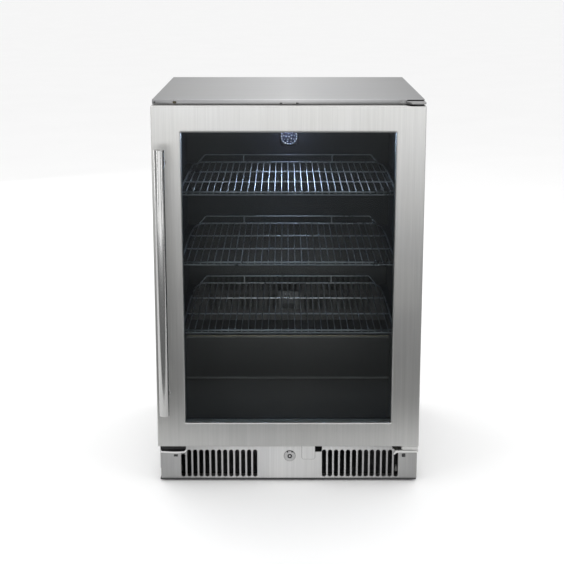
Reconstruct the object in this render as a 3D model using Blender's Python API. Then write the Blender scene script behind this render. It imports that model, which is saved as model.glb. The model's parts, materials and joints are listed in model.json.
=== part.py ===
"""Undercounter refrigerator: glass-door, forced-air, front-breathing cabinet of the 24 inch class.

World frame: metres, +Z up, -Y is the door side, origin on the floor under the middle of the object.
Inside the helpers lengths are millimetres, and y is counted from the door's front face towards the back.
"""
import math

import bmesh
import bpy
from mathutils import Matrix, Vector

for old in list(bpy.data.objects):
    bpy.data.objects.remove(old, do_unlink=True)

# ---------------------------------------------------------------- driving dimensions (mm)
HALF_W = 297.5          # half the cabinet's width
TOP = 884.0             # overall height
BACK = 571.0            # back of the cabinet behind the door's front face
BAR_FRONT = 66.0        # how far the handle stands in front of the door
ORIGIN_Y = (BACK - BAR_FRONT) / 2.0
SHEET = 1.2             # sheet metal thickness
GAP = 0.3               # gap between pieces that touch

COVER_FRONT = 36.0      # front lip of the top cover
LIP_BOTTOM = 873.5
CABINET_FRONT = 50.0    # face that the door gasket seals on

DOOR_T = 40.0
DOOR_BOTTOM, DOOR_TOP = 95.0, 872.0
WINDOW_X, WINDOW_Z0, WINDOW_Z1 = 233.5, 152.0, 815.5
HINGE_X, HINGE_Y = 283.0, 20.0
PIN_R, PIN_HOLE_R = 4.0, 4.12

BAR_R, BAR_X, BAR_Y = 11.0, -275.0, -55.0
BAR_Z0, BAR_Z1, POST_INSET = 190.0, 786.0, 35.0

CAVITY_X, CAVITY_FLOOR, CAVITY_CEILING = 260.5, 128.0, 845.0
CAVITY_BACK = 543.0
HUMP_FRONT, HUMP_TOP = 380.0, 245.0
LINER_T = 2.0

SHELF_PLANES = (674.0, 512.5, 352.0)
SHELF_X, SHELF_FRONT, SHELF_REAR = 245.0, 72.5, 510.5
LONG_WIRES, LONG_PITCH = 31, 15.3

KICK_FRONT, KICK_BOTTOM, KICK_TOP = 25.0, 7.6, 90.0
KICK_X0, KICK_X1 = -294.0, 297.0
SLOT_W, SLOT_Z0, SLOT_Z1, SLOT_PITCH, SLOTS = 8.8, 12.0, 76.5, 13.82, 13
SLOT_LEFT0, SLOT_RIGHT0 = -242.2, 82.6
LOCK_X, LOCK_Z = 3.4, 62.7

DUCT_FRONT, DUCT_BACK = 516.0, 519.0
FAN_X, FAN_Z = 2.0, 303.0
COND_FAN_Y, COND_FAN_Z = 493.0, 105.0
FEET = {
    "foot_front_left": (-255.0, 80.0),
    "foot_front_right": (255.0, 80.0),
    "foot_rear_left": (-255.0, 535.0),
    "foot_rear_right": (255.0, 535.0),
}

# ---------------------------------------------------------------- materials
FINISHES = {
    "stainless": ((0.56, 0.56, 0.55), 0.34, 1.0),
    "galvanised": ((0.50, 0.52, 0.53), 0.45, 1.0),
    "black_steel": ((0.02, 0.02, 0.022), 0.45, 0.0),
    "black_plastic": ((0.018, 0.018, 0.02), 0.42, 0.0),
    "grey_plastic": ((0.10, 0.10, 0.11), 0.5, 0.0),
    "foam": ((0.72, 0.62, 0.38), 0.95, 0.0),
    "rubber": ((0.02, 0.02, 0.02), 0.75, 0.0),
    "chrome": ((0.72, 0.73, 0.74), 0.16, 1.0),
    "aluminium": ((0.66, 0.67, 0.68), 0.35, 1.0),
    "copper": ((0.72, 0.38, 0.22), 0.3, 1.0),
    "glass": ((0.75, 0.82, 0.84), 0.03, 0.0),
    "lens": ((0.85, 0.90, 1.0), 0.2, 0.0),
}


def material(node, finish):
    colour, roughness, metallic = FINISHES[finish]
    m = bpy.data.materials.new(node)
    m.use_nodes = True
    shader = m.node_tree.nodes["Principled BSDF"]
    shader.inputs["Base Color"].default_value = (*colour, 1.0)
    shader.inputs["Roughness"].default_value = roughness
    shader.inputs["Metallic"].default_value = metallic
    if finish == "glass":
        shader.inputs["Transmission Weight"].default_value = 1.0
        shader.inputs["IOR"].default_value = 1.5
    if finish == "lens":
        shader.inputs["Emission Color"].default_value = (0.8, 0.9, 1.0, 1.0)
        shader.inputs["Emission Strength"].default_value = 2.0
    return m


# ---------------------------------------------------------------- shape helpers (mm)
def shape(bm):
    """A temporary object from a bmesh, with its faces pointing out."""
    bmesh.ops.recalc_face_normals(bm, faces=bm.faces)
    mesh = bpy.data.meshes.new("shape")
    bm.to_mesh(mesh)
    bm.free()
    ob = bpy.data.objects.new("shape", mesh)
    bpy.context.scene.collection.objects.link(ob)
    return ob


def box(x0, x1, y0, y1, z0, z1):
    bm = bmesh.new()
    bmesh.ops.create_cube(bm, size=1.0)
    bmesh.ops.scale(bm, vec=(x1 - x0, y1 - y0, z1 - z0), verts=bm.verts)
    bmesh.ops.translate(bm, vec=((x0 + x1) / 2, (y0 + y1) / 2, (z0 + z1) / 2), verts=bm.verts)
    return shape(bm)


AXES = {
    "x": lambda u, v, w: (w, u, v),   # outline in (y, z), extruded along x
    "y": lambda u, v, w: (u, w, v),   # outline in (x, z), extruded along y
    "z": lambda u, v, w: (u, v, w),   # outline in (x, y), extruded along z
}


def prism(outline, axis, lo, hi, holes=()):
    """A flat outline with holes, extruded along an axis."""
    flat = bmesh.new()
    edges, loops = [], []
    for ring in (outline, *holes):
        vs = [flat.verts.new((u, v, 0.0)) for u, v in ring]
        loops.append(len(vs))
        edges += [flat.edges.new((vs[i - 1], vs[i])) for i in range(len(vs))]
    flat.verts.index_update()
    bmesh.ops.triangle_fill(flat, use_beauty=True, use_dissolve=False, edges=edges)
    points = [v.co.copy() for v in flat.verts]
    faces = [[v.index for v in f.verts] for f in flat.faces]
    flat.free()
    at = AXES[axis]
    bm = bmesh.new()
    low = [bm.verts.new(at(p.x, p.y, lo)) for p in points]
    high = [bm.verts.new(at(p.x, p.y, hi)) for p in points]
    for f in faces:
        bm.faces.new([low[i] for i in reversed(f)])
        bm.faces.new([high[i] for i in f])
    start = 0
    for n in loops:
        for i in range(n):
            a, b = start + i, start + (i + 1) % n
            bm.faces.new((low[a], low[b], high[b], high[a]))
        start += n
    return shape(bm)


def turned(profile, axis, at, segments=24, squash=(1.0, 1.0)):
    """A profile of (radius, height) turned about an axis; a zero radius closes to a point."""
    bm = bmesh.new()
    place = {
        "z": lambda a, b, h: (at[0] + a, at[1] + b, h),
        "y": lambda a, b, h: (at[0] + a, h, at[1] + b),
        "x": lambda a, b, h: (h, at[0] + a, at[1] + b),
    }[axis]
    rings = []
    for r, h in profile:
        if r == 0:
            rings.append([bm.verts.new(place(0, 0, h))])
        else:
            rings.append([
                bm.verts.new(place(
                    squash[0] * r * math.cos(2 * math.pi * i / segments),
                    squash[1] * r * math.sin(2 * math.pi * i / segments), h))
                for i in range(segments)])
    closed = profile[0][0] != 0
    pairs = list(zip(rings, rings[1:]))
    if closed:
        pairs.append((rings[-1], rings[0]))
    for a, b in pairs:
        for i in range(segments):
            j = (i + 1) % segments
            if len(a) == 1:
                bm.faces.new((a[0], b[i], b[j]))
            elif len(b) == 1:
                bm.faces.new((a[i], b[0], a[j]))
            else:
                bm.faces.new((a[i], b[i], b[j], a[j]))
    return shape(bm)


def rod(axis, at, r, h0, h1, segments=16):
    return turned([(0, h0), (r, h0), (r, h1), (0, h1)], axis, at, segments)


def circle(cx, cy, r, segments):
    return [(cx + r * math.cos(2 * math.pi * i / segments), cy + r * math.sin(2 * math.pi * i / segments))
            for i in range(segments)]


def rectangle(x0, x1, z0, z1):
    return [(x0, z0), (x1, z0), (x1, z1), (x0, z1)]


def round_slot(cx, z0, z1, w, steps=4):
    """A vertical slot with round ends."""
    r = w / 2.0
    top = [(cx + r * math.cos(math.pi * i / steps), z1 - r + r * math.sin(math.pi * i / steps)) for i in range(steps + 1)]
    low = [(cx - r * math.cos(math.pi * i / steps), z0 + r - r * math.sin(math.pi * i / steps)) for i in range(steps + 1)]
    return top + low


def boolean(target, others, operation):
    for other in others:
        m = target.modifiers.new("join", "BOOLEAN")
        m.operation = operation
        m.solver = "EXACT"
        m.object = other
    bpy.context.view_layer.update()
    graph = bpy.context.evaluated_depsgraph_get()
    mesh = bpy.data.meshes.new_from_object(target.evaluated_get(graph))
    target.modifiers.clear()
    target.data = mesh
    for other in others:
        bpy.data.objects.remove(other, do_unlink=True)
    return target


def union(target, *others):
    return boolean(target, others, "UNION")


def cut(target, *others):
    return boolean(target, others, "DIFFERENCE")


def tube(points, radius, resolution=2):
    """A round tube along a smooth curve through a few points."""
    knots = [Vector(p) for p in points]
    ends = [knots[0] * 2 - knots[1], *knots, knots[-1] * 2 - knots[-2]]
    path = []
    for i in range(1, len(ends) - 2):
        a, b, c, d = ends[i - 1:i + 3]
        for k in range(4):
            t = k / 4.0
            path.append(0.5 * ((2 * b) + (c - a) * t + (2 * a - 5 * b + 4 * c - d) * t * t
                               + (3 * b - a - 3 * c + d) * t ** 3))
    path.append(knots[-1])
    curve = bpy.data.curves.new("tube", "CURVE")
    curve.dimensions = "3D"
    curve.bevel_depth = radius
    curve.bevel_resolution = resolution
    curve.use_fill_caps = True
    spline = curve.splines.new("POLY")
    spline.points.add(len(path) - 1)
    for p, v in zip(spline.points, path):
        p.co = (*v, 1.0)
    ob = bpy.data.objects.new("shape", curve)
    bpy.context.scene.collection.objects.link(ob)
    bpy.context.view_layer.update()
    graph = bpy.context.evaluated_depsgraph_get()
    mesh = bpy.data.meshes.new_from_object(ob.evaluated_get(graph))
    bpy.data.objects.remove(ob, do_unlink=True)
    bm = bmesh.new()
    bm.from_mesh(mesh)
    bmesh.ops.remove_doubles(bm, verts=bm.verts, dist=0.001)
    return shape(bm)


def node(name, ob, finish, pivot=(0.0, ORIGIN_Y, 0.0), sharp=35.0):
    """Names a finished shape, gives it its material and puts its origin at the pivot, in world metres."""
    ob.name = name
    ob.data.name = name
    ob.data.transform(Matrix.Translation(-Vector(pivot)))
    ob.data.transform(Matrix.Scale(0.001, 4))
    ob.location = ((pivot[0]) * 0.001, (pivot[1] - ORIGIN_Y) * 0.001, pivot[2] * 0.001)
    ob.data.materials.clear()
    ob.data.materials.append(material(name, finish))
    ob.data.shade_smooth()
    ob.data.set_sharp_from_angle(angle=math.radians(sharp))
    return ob


# ================================================================ cabinet shell
inner_x = HALF_W - SHEET
for side, name in ((-1, "side_panel_left"), (1, "side_panel_right")):
    outer, inner, fold = side * HALF_W, side * inner_x, side * 284.0
    node(name, prism([
        (outer, CABINET_FRONT), (outer, BACK - 0.3), (fold, BACK - 0.3), (fold, BACK - 0.3 - SHEET),
        (inner, BACK - 0.3 - SHEET), (inner, CABINET_FRONT)], "z", 22.0, LIP_BOTTOM - GAP), "stainless")

cover = cut(box(-HALF_W, HALF_W, COVER_FRONT, BACK, LIP_BOTTOM, TOP),
            box(-inner_x, inner_x, COVER_FRONT + SHEET, BACK - SHEET, LIP_BOTTOM - 5, TOP - SHEET))
cover = cut(cover, box(243.0, 310.0, 20.0, 51.0, LIP_BOTTOM - 5, TOP - SHEET - 0.2),
            prism([(-252.0, 875.4), (-251.0, 874.7), (-245.0, 874.7), (-244.0, 875.4),
                   (-244.0, 878.6), (-245.0, 879.3), (-251.0, 879.3), (-252.0, 878.6)], "y", 30.0, 40.0))
node("top_cover", cover, "stainless")

node("back_panel", box(-283.4, 283.4, BACK - 0.3 - SHEET, BACK - 0.3, 207.2, LIP_BOTTOM - GAP), "galvanised")

node("face_frame", prism(rectangle(-296.0, 296.0, 90.5, 873.0), "y", CABINET_FRONT, CABINET_FRONT + SHEET,
                         [rectangle(-263.0, 263.0, 126.0, 847.0)]), "stainless")

node("cabinet_underside", prism([
    (50.6, 88.0), (417.5, 88.0), (417.5, 205.5), (569.0, 205.5), (569.0, 206.7),
    (416.3, 206.7), (416.3, 89.2), (50.6, 89.2)], "x", -296.0, 296.0), "galvanised")

pan = cut(box(-296.0, 296.0, 27.5, 569.0, 3.6, 20.0), box(-294.6, 294.6, 20.0, 567.6, 5.0, 30.0))
pan = cut(pan, box(-300.0, 300.0, 20.0, 50.5, 7.3, 40.0))
pan = union(pan, box(-293.0, 293.0, 27.5, 28.9, 4.0, 7.2))
pan = cut(pan, *[rod("z", at, 5.8, 0.0, 12.0, 16) for at in FEET.values()])
node("base_pan", pan, "black_steel")

grille_slots = [rectangle(x, x + 120.0, z, z + 6.0) for x in (-262.0, -128.0, 6.0, 140.0) for z in range(34, 190, 15)
                if not (x == -128.0 and z < 90)]
node("rear_grille", prism(rectangle(-283.4, 283.4, 21.0, 205.0), "y", BACK - 0.3 - SHEET, BACK - 0.3,
                          grille_slots + [rectangle(-136.0, -104.0, 44.0, 68.0)]), "black_steel")

socket = union(box(-135.6, -104.4, 548.0, 570.9, 44.4, 67.6), box(-134.0, -106.0, 546.0, 550.0, 46.0, 66.0))
socket = cut(socket, box(-132.4, -107.6, 553.0, 580.0, 47.6, 64.4))
node("power_inlet", socket, "black_plastic")

# ---------------------------------------------------------------- liner and insulation
lx = CAVITY_X + LINER_T
shell = prism([(51.5, 126.0), (HUMP_FRONT + 2, 126.0), (HUMP_FRONT + 2, HUMP_TOP - 2), (CAVITY_BACK + 2, HUMP_TOP - 2),
               (CAVITY_BACK + 2, 847.0), (51.5, 847.0)], "x", -lx, lx)
shell = union(shell, box(-276.0, 276.0, 51.5, 53.5, 112.0, 861.0))
shell = cut(shell, prism([(40.0, CAVITY_FLOOR), (HUMP_FRONT, CAVITY_FLOOR), (HUMP_FRONT, HUMP_TOP), (CAVITY_BACK, HUMP_TOP),
                          (CAVITY_BACK, CAVITY_CEILING), (40.0, CAVITY_CEILING)], "x", -CAVITY_X, CAVITY_X))
ledges = []
for plane in SHELF_PLANES:
    for side in (-1, 1):
        a, b = sorted((side * 239.0, side * 261.5))
        top = plane - 4.3
        ledges.append(prism([(62.0, top), (62.0, top - 4.0), (74.0, top - 9.0), (500.0, top - 9.0), (500.0, top)],
                            "x", a, b))
shell = union(shell, *ledges)
node("liner", shell, "black_plastic")

foam = prism([(54.0, 89.5), (416.0, 89.5), (416.0, 207.0), (569.0, 207.0), (569.0, 882.5), (54.0, 882.5)],
             "x", -295.9, 295.9)
foam = cut(foam, prism([(40.0, 125.7), (382.3, 125.7), (382.3, 242.7), (545.3, 242.7), (545.3, 847.3), (40.0, 847.3)],
                       "x", -262.8, 262.8),
           box(240.0, 300.0, 40.0, 95.0, 872.5, 890.0))
node("insulation_foam", foam, "foam")

# ---------------------------------------------------------------- air duct, evaporator and lamp
pitch = 14.0
low_row = [rectangle(x0 + i * pitch, x0 + i * pitch + 7.0, 275.0, 317.0) for x0 in (-208.0, 43.0) for i in range(13)]
high_row = [rectangle(-208.0 + i * pitch, -201.0 + i * pitch, 328.0, 368.0) for i in range(31)]
node("duct_cover", prism(rectangle(-260.0, 260.0, HUMP_TOP + 0.5, CAVITY_CEILING - 0.5), "y", DUCT_FRONT, DUCT_BACK,
                         low_row + high_row + [circle(FAN_X, FAN_Z, 6.0, 12)]), "black_plastic")


def finned_block(x0, x1, y0, y1, z0, z1, fins, depth, along):
    """A finned block: grooves run up both broad faces."""
    step = ((z1 - z0) if along == "z" else (x1 - x0)) / fins
    front, back = [], []
    start = z0 if along == "z" else x0
    for i in range(fins):
        a, b = start + i * step, start + (i + 0.5) * step
        c = start + (i + 1) * step
        front += [(y0, a), (y0, b), (y0 + depth, b), (y0 + depth, c)]
        back += [(y1, a), (y1, b), (y1 - depth, b), (y1 - depth, c)]
    ring = front + list(reversed(back))
    if along == "z":
        return prism(ring, "x", x0, x1)
    return prism([(v, u) for u, v in ring], "z", z0, z1)


node("evaporator_coil", finned_block(-200.0, 200.0, 521.5, 540.5, 400.0, 690.0, 20, 5.0, "x"), "aluminium")

motor = union(box(-27.0, 31.0, 506.0, 515.7, 278.0, 329.0), rod("y", (FAN_X, FAN_Z), 2.85, 512.0, 536.0, 16))
node("evaporator_fan_motor", motor, "grey_plastic")


def fan(axis, at, hub_r, tip_r, h0, h1, blades, bore_r):
    """A hub with a bore, and flat pitched blades that overlap it."""
    hub = turned([(bore_r, h0), (hub_r, h0), (hub_r, h1), (bore_r, h1)], axis, at, 16)
    parts = []
    mid, half = (h0 + h1) / 2, (h1 - h0) / 2 * 0.8
    for i in range(blades):
        a = 2 * math.pi * i / blades
        bm = bmesh.new()
        corners = []
        for r, w in ((hub_r * 0.8, 0.36), (tip_r, 0.34)):
            for s in (-1, 1):
                for t in (-0.8, 0.8):
                    ang = a + s * w
                    lift = mid + s * half * 0.75 + t
                    u, v = r * math.cos(ang), r * math.sin(ang)
                    corners.append({
                        "y": (at[0] + u, lift, at[1] + v),
                        "x": (lift, at[0] + u, at[1] + v)}[axis])
        vs = [bm.verts.new(c) for c in corners]
        for f in ((0, 1, 3, 2), (4, 6, 7, 5), (0, 2, 6, 4), (1, 5, 7, 3), (0, 4, 5, 1), (2, 3, 7, 6)):
            bm.faces.new([vs[k] for k in f])
        parts.append(shape(bm))
    return union(hub, *parts)


node("evaporator_fan", fan("y", (FAN_X, FAN_Z), 13.0, 44.0, 521.5, 534.0, 5, 3.0), "black_plastic",
     (FAN_X, 528.0, FAN_Z))

node("lamp_housing", box(-20.0, 26.0, 507.0, 515.7, 716.0, 760.0), "grey_plastic")
node("lamp_lens", prism([(-17.0, 719.0), (23.0, 719.0), (23.0, 757.0), (-17.0, 757.0)], "y", 501.5, 506.7), "lens")
for side, name in ((-1, "duct_screw_left"), (1, "duct_screw_right")):
    node(name, turned([(0, 512.6), (2.6, 512.6), (4.4, 514.2), (4.4, 515.7), (0, 515.7)], "y", (side * 245.0, 600.0), 12), "chrome")

# ---------------------------------------------------------------- kick plate and lock
kick = cut(box(KICK_X0, KICK_X1, KICK_FRONT, 49.7, KICK_BOTTOM, KICK_TOP),
           box(KICK_X0 + SHEET, KICK_X1 - SHEET, KICK_FRONT + SHEET, 60.0, KICK_BOTTOM + SHEET, KICK_TOP - SHEET))
kick = cut(kick,
           box(-310.0, -235.6, 20.0, 60.0, 71.0, 95.0),
           box(240.0, 310.0, 20.0, 60.0, 79.6, 95.0),
           box(61.6, 77.8, 20.0, 30.0, 72.5, 88.0),
           box(-44.0, 13.0, 31.0, 38.0, 85.0, 95.0),
           rod("y", (LOCK_X, LOCK_Z), 10.2, 20.0, 30.0, 24),
           rod("y", (-260.0, 63.5), 3.0, 20.0, 30.0, 10),
           rod("y", (266.0, 64.0), 3.0, 20.0, 30.0, 10))
slots = [prism(round_slot(x0 + i * SLOT_PITCH, SLOT_Z0, SLOT_Z1, SLOT_W), "y", 20.0, 30.0)
         for x0 in (SLOT_LEFT0, SLOT_RIGHT0) for i in range(SLOTS)]
kick = cut(kick, *slots)
node("kick_plate", kick, "stainless")

node("tab_plate", prism([(31.5, 88.0), (31.5, 59.0), (32.7, 56.2), (35.5, 55.0), (58.0, 55.0), (60.8, 56.2),
                         (61.3, 59.0), (61.3, 88.0)], "y", 24.0, 24.7), "stainless")
node("kick_plate_screw", turned([(0, 22.4), (3.2, 22.4), (4.4, 23.4), (4.4, 24.7), (2.3, 24.7), (2.3, 34.0), (0, 34.0)],
                                "y", (266.0, 64.0), 12), "black_steel")

node("lock_barrel", turned([(5.9, 22.2), (11.6, 22.2), (12.85, 23.2), (12.85, 24.7), (9.8, 24.7), (9.8, 32.7), (5.9, 32.7)],
                           "y", (LOCK_X, LOCK_Z), 24), "chrome")
node("lock_core", turned([(0, 23.0), (1.9, 22.4), (2.0, 24.4), (4.0, 24.4), (4.1, 22.4), (5.5, 22.4), (5.5, 33.0), (0, 33.0)],
                         "y", (LOCK_X, LOCK_Z), 24), "chrome", (LOCK_X, 30.0, LOCK_Z))
cam = prism([(LOCK_X - 40.0, LOCK_Z - 5.0), (LOCK_X + 4.0, LOCK_Z - 7.0), (LOCK_X + 7.0, LOCK_Z - 4.0),
             (LOCK_X + 7.0, LOCK_Z + 4.0), (LOCK_X + 4.0, LOCK_Z + 7.0), (LOCK_X - 40.0, LOCK_Z + 5.0),
             (LOCK_X - 43.0, LOCK_Z + 2.5), (LOCK_X - 43.0, LOCK_Z - 2.5)], "y", 33.3, 35.8)
node("lock_cam", cam, "galvanised", (LOCK_X, 34.5, LOCK_Z))

# ---------------------------------------------------------------- hinge brackets
plate = union(prism([(262.0, 8.0), (266.0, 4.0), (297.0, 4.0), (297.0, 50.5), (295.9, 50.5), (295.9, 92.0), (256.0, 92.0), (256.0, 30.0)], "z", 876.0, 880.0),
              box(243.6, 259.0, 37.5, 40.0, 874.0, 882.2),
              rod("z", (HINGE_X, HINGE_Y), PIN_R, 857.5, 878.0, 24))
plate = cut(plate, rod("y", (250.0, 878.0), 2.8, 30.0, 45.0, 12))
node("hinge_plate_top", plate, "galvanised")
node("hinge_screw_top", turned([(0, 33.8), (3.0, 33.8), (3.4, 34.8), (3.4, 36.2), (3.9, 36.2), (3.9, 37.2),
                                (2.3, 37.2), (2.3, 46.0), (0, 46.0)], "y", (250.0, 878.0), 12), "chrome")

bracket = union(prism([(246.5, 4.0), (297.0, 4.0), (297.0, 49.5), (295.9, 49.5), (295.9, 90.0), (243.0, 90.0), (243.0, 8.0)], "z", 80.0, 85.0),
                box(245.0, 295.0, 53.0, 88.0, 84.0, 87.7),
                rod("z", (HINGE_X, HINGE_Y), PIN_R, 83.0, 94.3, 24))
node("hinge_plate_bottom", bracket, "galvanised")

# ================================================================ refrigeration unit
def compressor_shape(grow=0.0):
    return turned([(0, 17.0 - grow), (46.0, 17.0 - grow), (58.0 + grow, 28.0), (62.0 + grow, 50.0), (62.0 + grow, 112.0),
                   (55.0 + grow, 138.0), (36.0, 154.0 + grow), (0, 158.0 + grow)], "z", (135.0, 497.0), 20, (1.25, 1.0))


node("compressor", compressor_shape(), "black_steel")
feet_at = [(60.0, 440.0), (210.0, 440.0), (60.0, 554.0), (210.0, 554.0)]
mount = union(box(46.0, 224.0, 428.0, 565.0, 14.0, 16.7), *[rod("z", at, 10.0, 5.3, 15.0, 12) for at in feet_at])
node("compressor_mount", mount, "rubber")

node("condenser_coil", finned_block(-275.0, -211.0, 431.0, 556.0, 22.0, 190.0, 14, 9.0, "z"), "black_steel")
node("condenser_fan_shroud", prism(rectangle(430.0, 558.0, 20.0, 192.0), "x", -203.0, -199.0,
                                   [circle(COND_FAN_Y, COND_FAN_Z, 54.0, 24)]), "black_steel")
node("condenser_fan", fan("x", (COND_FAN_Y, COND_FAN_Z), 15.0, 50.0, -194.5, -178.5, 5, 3.0), "black_plastic",
     (-186.0, COND_FAN_Y, COND_FAN_Z))
drive = union(turned([(0, -175.0), (20.0, -175.0), (24.0, -168.0), (24.0, -138.0), (18.0, -132.0), (0, -132.0)],
                     "x", (COND_FAN_Y, COND_FAN_Z), 20),
              rod("x", (COND_FAN_Y, COND_FAN_Z), 2.85, -193.0, -170.0, 16),
              box(-152.0, -149.0, 431.0, 556.0, 97.0, 113.0),
              box(-198.7, -149.5, 431.0, 434.0, 97.5, 112.5),
              box(-198.7, -149.5, 553.0, 556.0, 97.5, 112.5))
node("condenser_fan_motor", drive, "black_steel")

tray = cut(box(72.0, 194.0, 444.0, 558.0, 160.0, 186.0), box(74.0, 192.0, 446.0, 556.0, 162.0, 200.0))
node("drain_pan", tray, "black_plastic")
node("control_box", union(box(-95.0, -12.0, 488.0, 562.0, 5.3, 60.0), box(-97.0, -10.0, 486.0, 564.0, 58.0, 74.0)),
     "grey_plastic")
node("filter_drier", turned([(0, 92.0), (3.4, 92.0), (3.6, 98.0), (9.0, 104.0), (9.0, 146.0), (3.6, 152.0), (3.4, 158.0), (0, 158.0)],
                            "z", (-60.0, 437.0), 16), "copper")

run = tube([(150.0, 470.0, 132.0), (60.0, 450.0, 152.0), (-20.0, 446.0, 176.0), (-120.0, 444.0, 196.0),
            (-200.0, 444.0, 199.0), (-236.0, 446.0, 198.5), (-240.0, 447.0, 191.6)], 3.0)
node("discharge_tube", cut(run, compressor_shape(0.4)), "copper")
run = tube([(170.0, 480.0, 118.0), (205.0, 445.0, 130.0), (212.0, 432.0, 160.0), (212.0, 428.0, 185.0), (212.0, 428.0, 205.1)], 4.0)
node("suction_tube", cut(run, compressor_shape(0.4)), "copper")
node("liquid_tube", tube([(-243.0, 427.2, 40.0), (-236.0, 425.0, 40.0), (-200.0, 424.0, 42.0), (-120.0, 424.0, 52.0),
                          (-75.0, 428.0, 62.0), (-60.0, 436.0, 78.0), (-60.0, 437.0, 91.6)], 2.4), "copper")
node("capillary_tube", tube([(-60.0, 437.0, 158.4), (-60.0, 436.0, 180.0), (-58.0, 433.0, 205.1)], 1.5), "copper")

# ================================================================ door
hinge_axis = (HINGE_X, HINGE_Y, DOOR_BOTTOM)
skin = cut(box(-HALF_W, HALF_W, 0.0, DOOR_T - 0.3, DOOR_BOTTOM, DOOR_TOP),
           box(-inner_x, inner_x, SHEET, 60.0, DOOR_BOTTOM + SHEET, DOOR_TOP - SHEET))
skin = union(skin, box(-WINDOW_X - SHEET, WINDOW_X + SHEET, 0.5, 8.0, WINDOW_Z0 - SHEET, WINDOW_Z1 + SHEET))
skin = cut(skin, box(-WINDOW_X, WINDOW_X, -5.0, 20.0, WINDOW_Z0, WINDOW_Z1),
           rod("z", (HINGE_X, HINGE_Y), 8.4, 860.0, 880.0, 16),
           box(-38.0, 13.0, 31.0, 38.0, 90.0, 100.0))
node("door_skin", skin, "stainless", hinge_axis)

frame = prism(rectangle(-296.0, 296.0, 96.5, 870.5), "y", 1.5, DOOR_T, [rectangle(-242.0, 242.0, 143.5, 824.0)])
frame = union(frame, prism(rectangle(-243.0, 243.0, 142.5, 825.0), "y", 33.0, DOOR_T - 0.6,
                           [rectangle(-234.5, 234.5, 151.0, 816.5)]))
frame = cut(frame, rod("z", (HINGE_X, HINGE_Y), 8.4, 854.5, 880.0, 16),
            box(-38.0, 13.0, 31.0, 38.0, 90.0, 112.0))
node("door_inner_frame", frame, "black_plastic", hinge_axis)

node("glass_outer", box(-241.7, 241.7, 8.3, 12.3, 143.8, 823.7), "glass", hinge_axis)
node("glass_spacer", prism(rectangle(-241.5, 241.5, 144.0, 823.5), "y", 12.6, 28.4,
                           [rectangle(-233.8, 233.8, 151.7, 815.8)]), "aluminium", hinge_axis)
node("glass_inner", box(-241.7, 241.7, 28.7, 32.7, 143.8, 823.7), "glass", hinge_axis)
node("door_gasket", prism(rectangle(-280.0, 280.0, 105.0, 865.0), "y", 40.3, 49.7,
                          [rectangle(-266.0, 266.0, 119.0, 851.0)]), "rubber", hinge_axis)
node("hinge_bush_top", turned([(PIN_HOLE_R, 856.0), (8.0, 856.0), (8.0, 872.3), (11.0, 872.3), (11.0, 874.2), (PIN_HOLE_R, 874.2)],
                              "z", (HINGE_X, HINGE_Y), 24), "black_plastic", hinge_axis)
node("hinge_bush_bottom", prism([(262.0, 3.0), (296.5, 3.0), (296.5, 37.0), (262.0, 37.0), (259.0, 34.0), (259.0, 6.0)], "z",
                                85.6, 94.7, [circle(HINGE_X, HINGE_Y, PIN_HOLE_R, 24)]), "grey_plastic", hinge_axis)

node("handle_bar", turned([(0, BAR_Z0), (BAR_R - 0.8, BAR_Z0), (BAR_R, BAR_Z0 + 0.8), (BAR_R, BAR_Z1 - 0.8),
                           (BAR_R - 0.8, BAR_Z1), (0, BAR_Z1)], "z", (BAR_X, BAR_Y), 24), "stainless", hinge_axis)
for name, z in (("handle_post_lower", BAR_Z0 + POST_INSET), ("handle_post_upper", BAR_Z1 - POST_INSET)):
    post = cut(rod("y", (BAR_X, z), 7.0, BAR_Y, -0.3, 20), rod("z", (BAR_X, BAR_Y), BAR_R + 0.35, z - 20, z + 20, 24))
    node(name, post, "stainless", hinge_axis)

# ================================================================ shelves
def wire_grid(xs, ys, z0, z1):
    """A flat wire grid: xs and ys are the (low, high) bands that wires fill; a cell is solid where either band holds it."""
    def edges(bands):
        marks = sorted(set(v for band in bands for v in band))
        return marks
    ex, ey = edges(xs), edges(ys)
    fill_x = [any(a <= (p + q) / 2 <= b for a, b in xs) for p, q in zip(ex, ex[1:])]
    fill_y = [any(a <= (p + q) / 2 <= b for a, b in ys) for p, q in zip(ey, ey[1:])]
    bm = bmesh.new()
    corner = {}

    def vert(i, j, k):
        if (i, j, k) not in corner:
            corner[i, j, k] = bm.verts.new((ex[i], ey[j], (z0, z1)[k]))
        return corner[i, j, k]

    def solid(i, j):
        return 0 <= i < len(fill_x) and 0 <= j < len(fill_y) and (fill_x[i] or fill_y[j])
    for i in range(len(fill_x)):
        for j in range(len(fill_y)):
            if not solid(i, j):
                continue
            bm.faces.new((vert(i, j, 0), vert(i, j + 1, 0), vert(i + 1, j + 1, 0), vert(i + 1, j, 0)))
            bm.faces.new((vert(i, j, 1), vert(i + 1, j, 1), vert(i + 1, j + 1, 1), vert(i, j + 1, 1)))
            for di, dj, a, b in ((-1, 0, (i, j), (i, j + 1)), (1, 0, (i + 1, j + 1), (i + 1, j)),
                                 (0, -1, (i + 1, j), (i, j)), (0, 1, (i, j + 1), (i + 1, j + 1))):
                if not solid(i + di, j + dj):
                    bm.faces.new((vert(*a, 0), vert(*a, 1), vert(*b, 1), vert(*b, 0)))
    return shape(bm)


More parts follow.
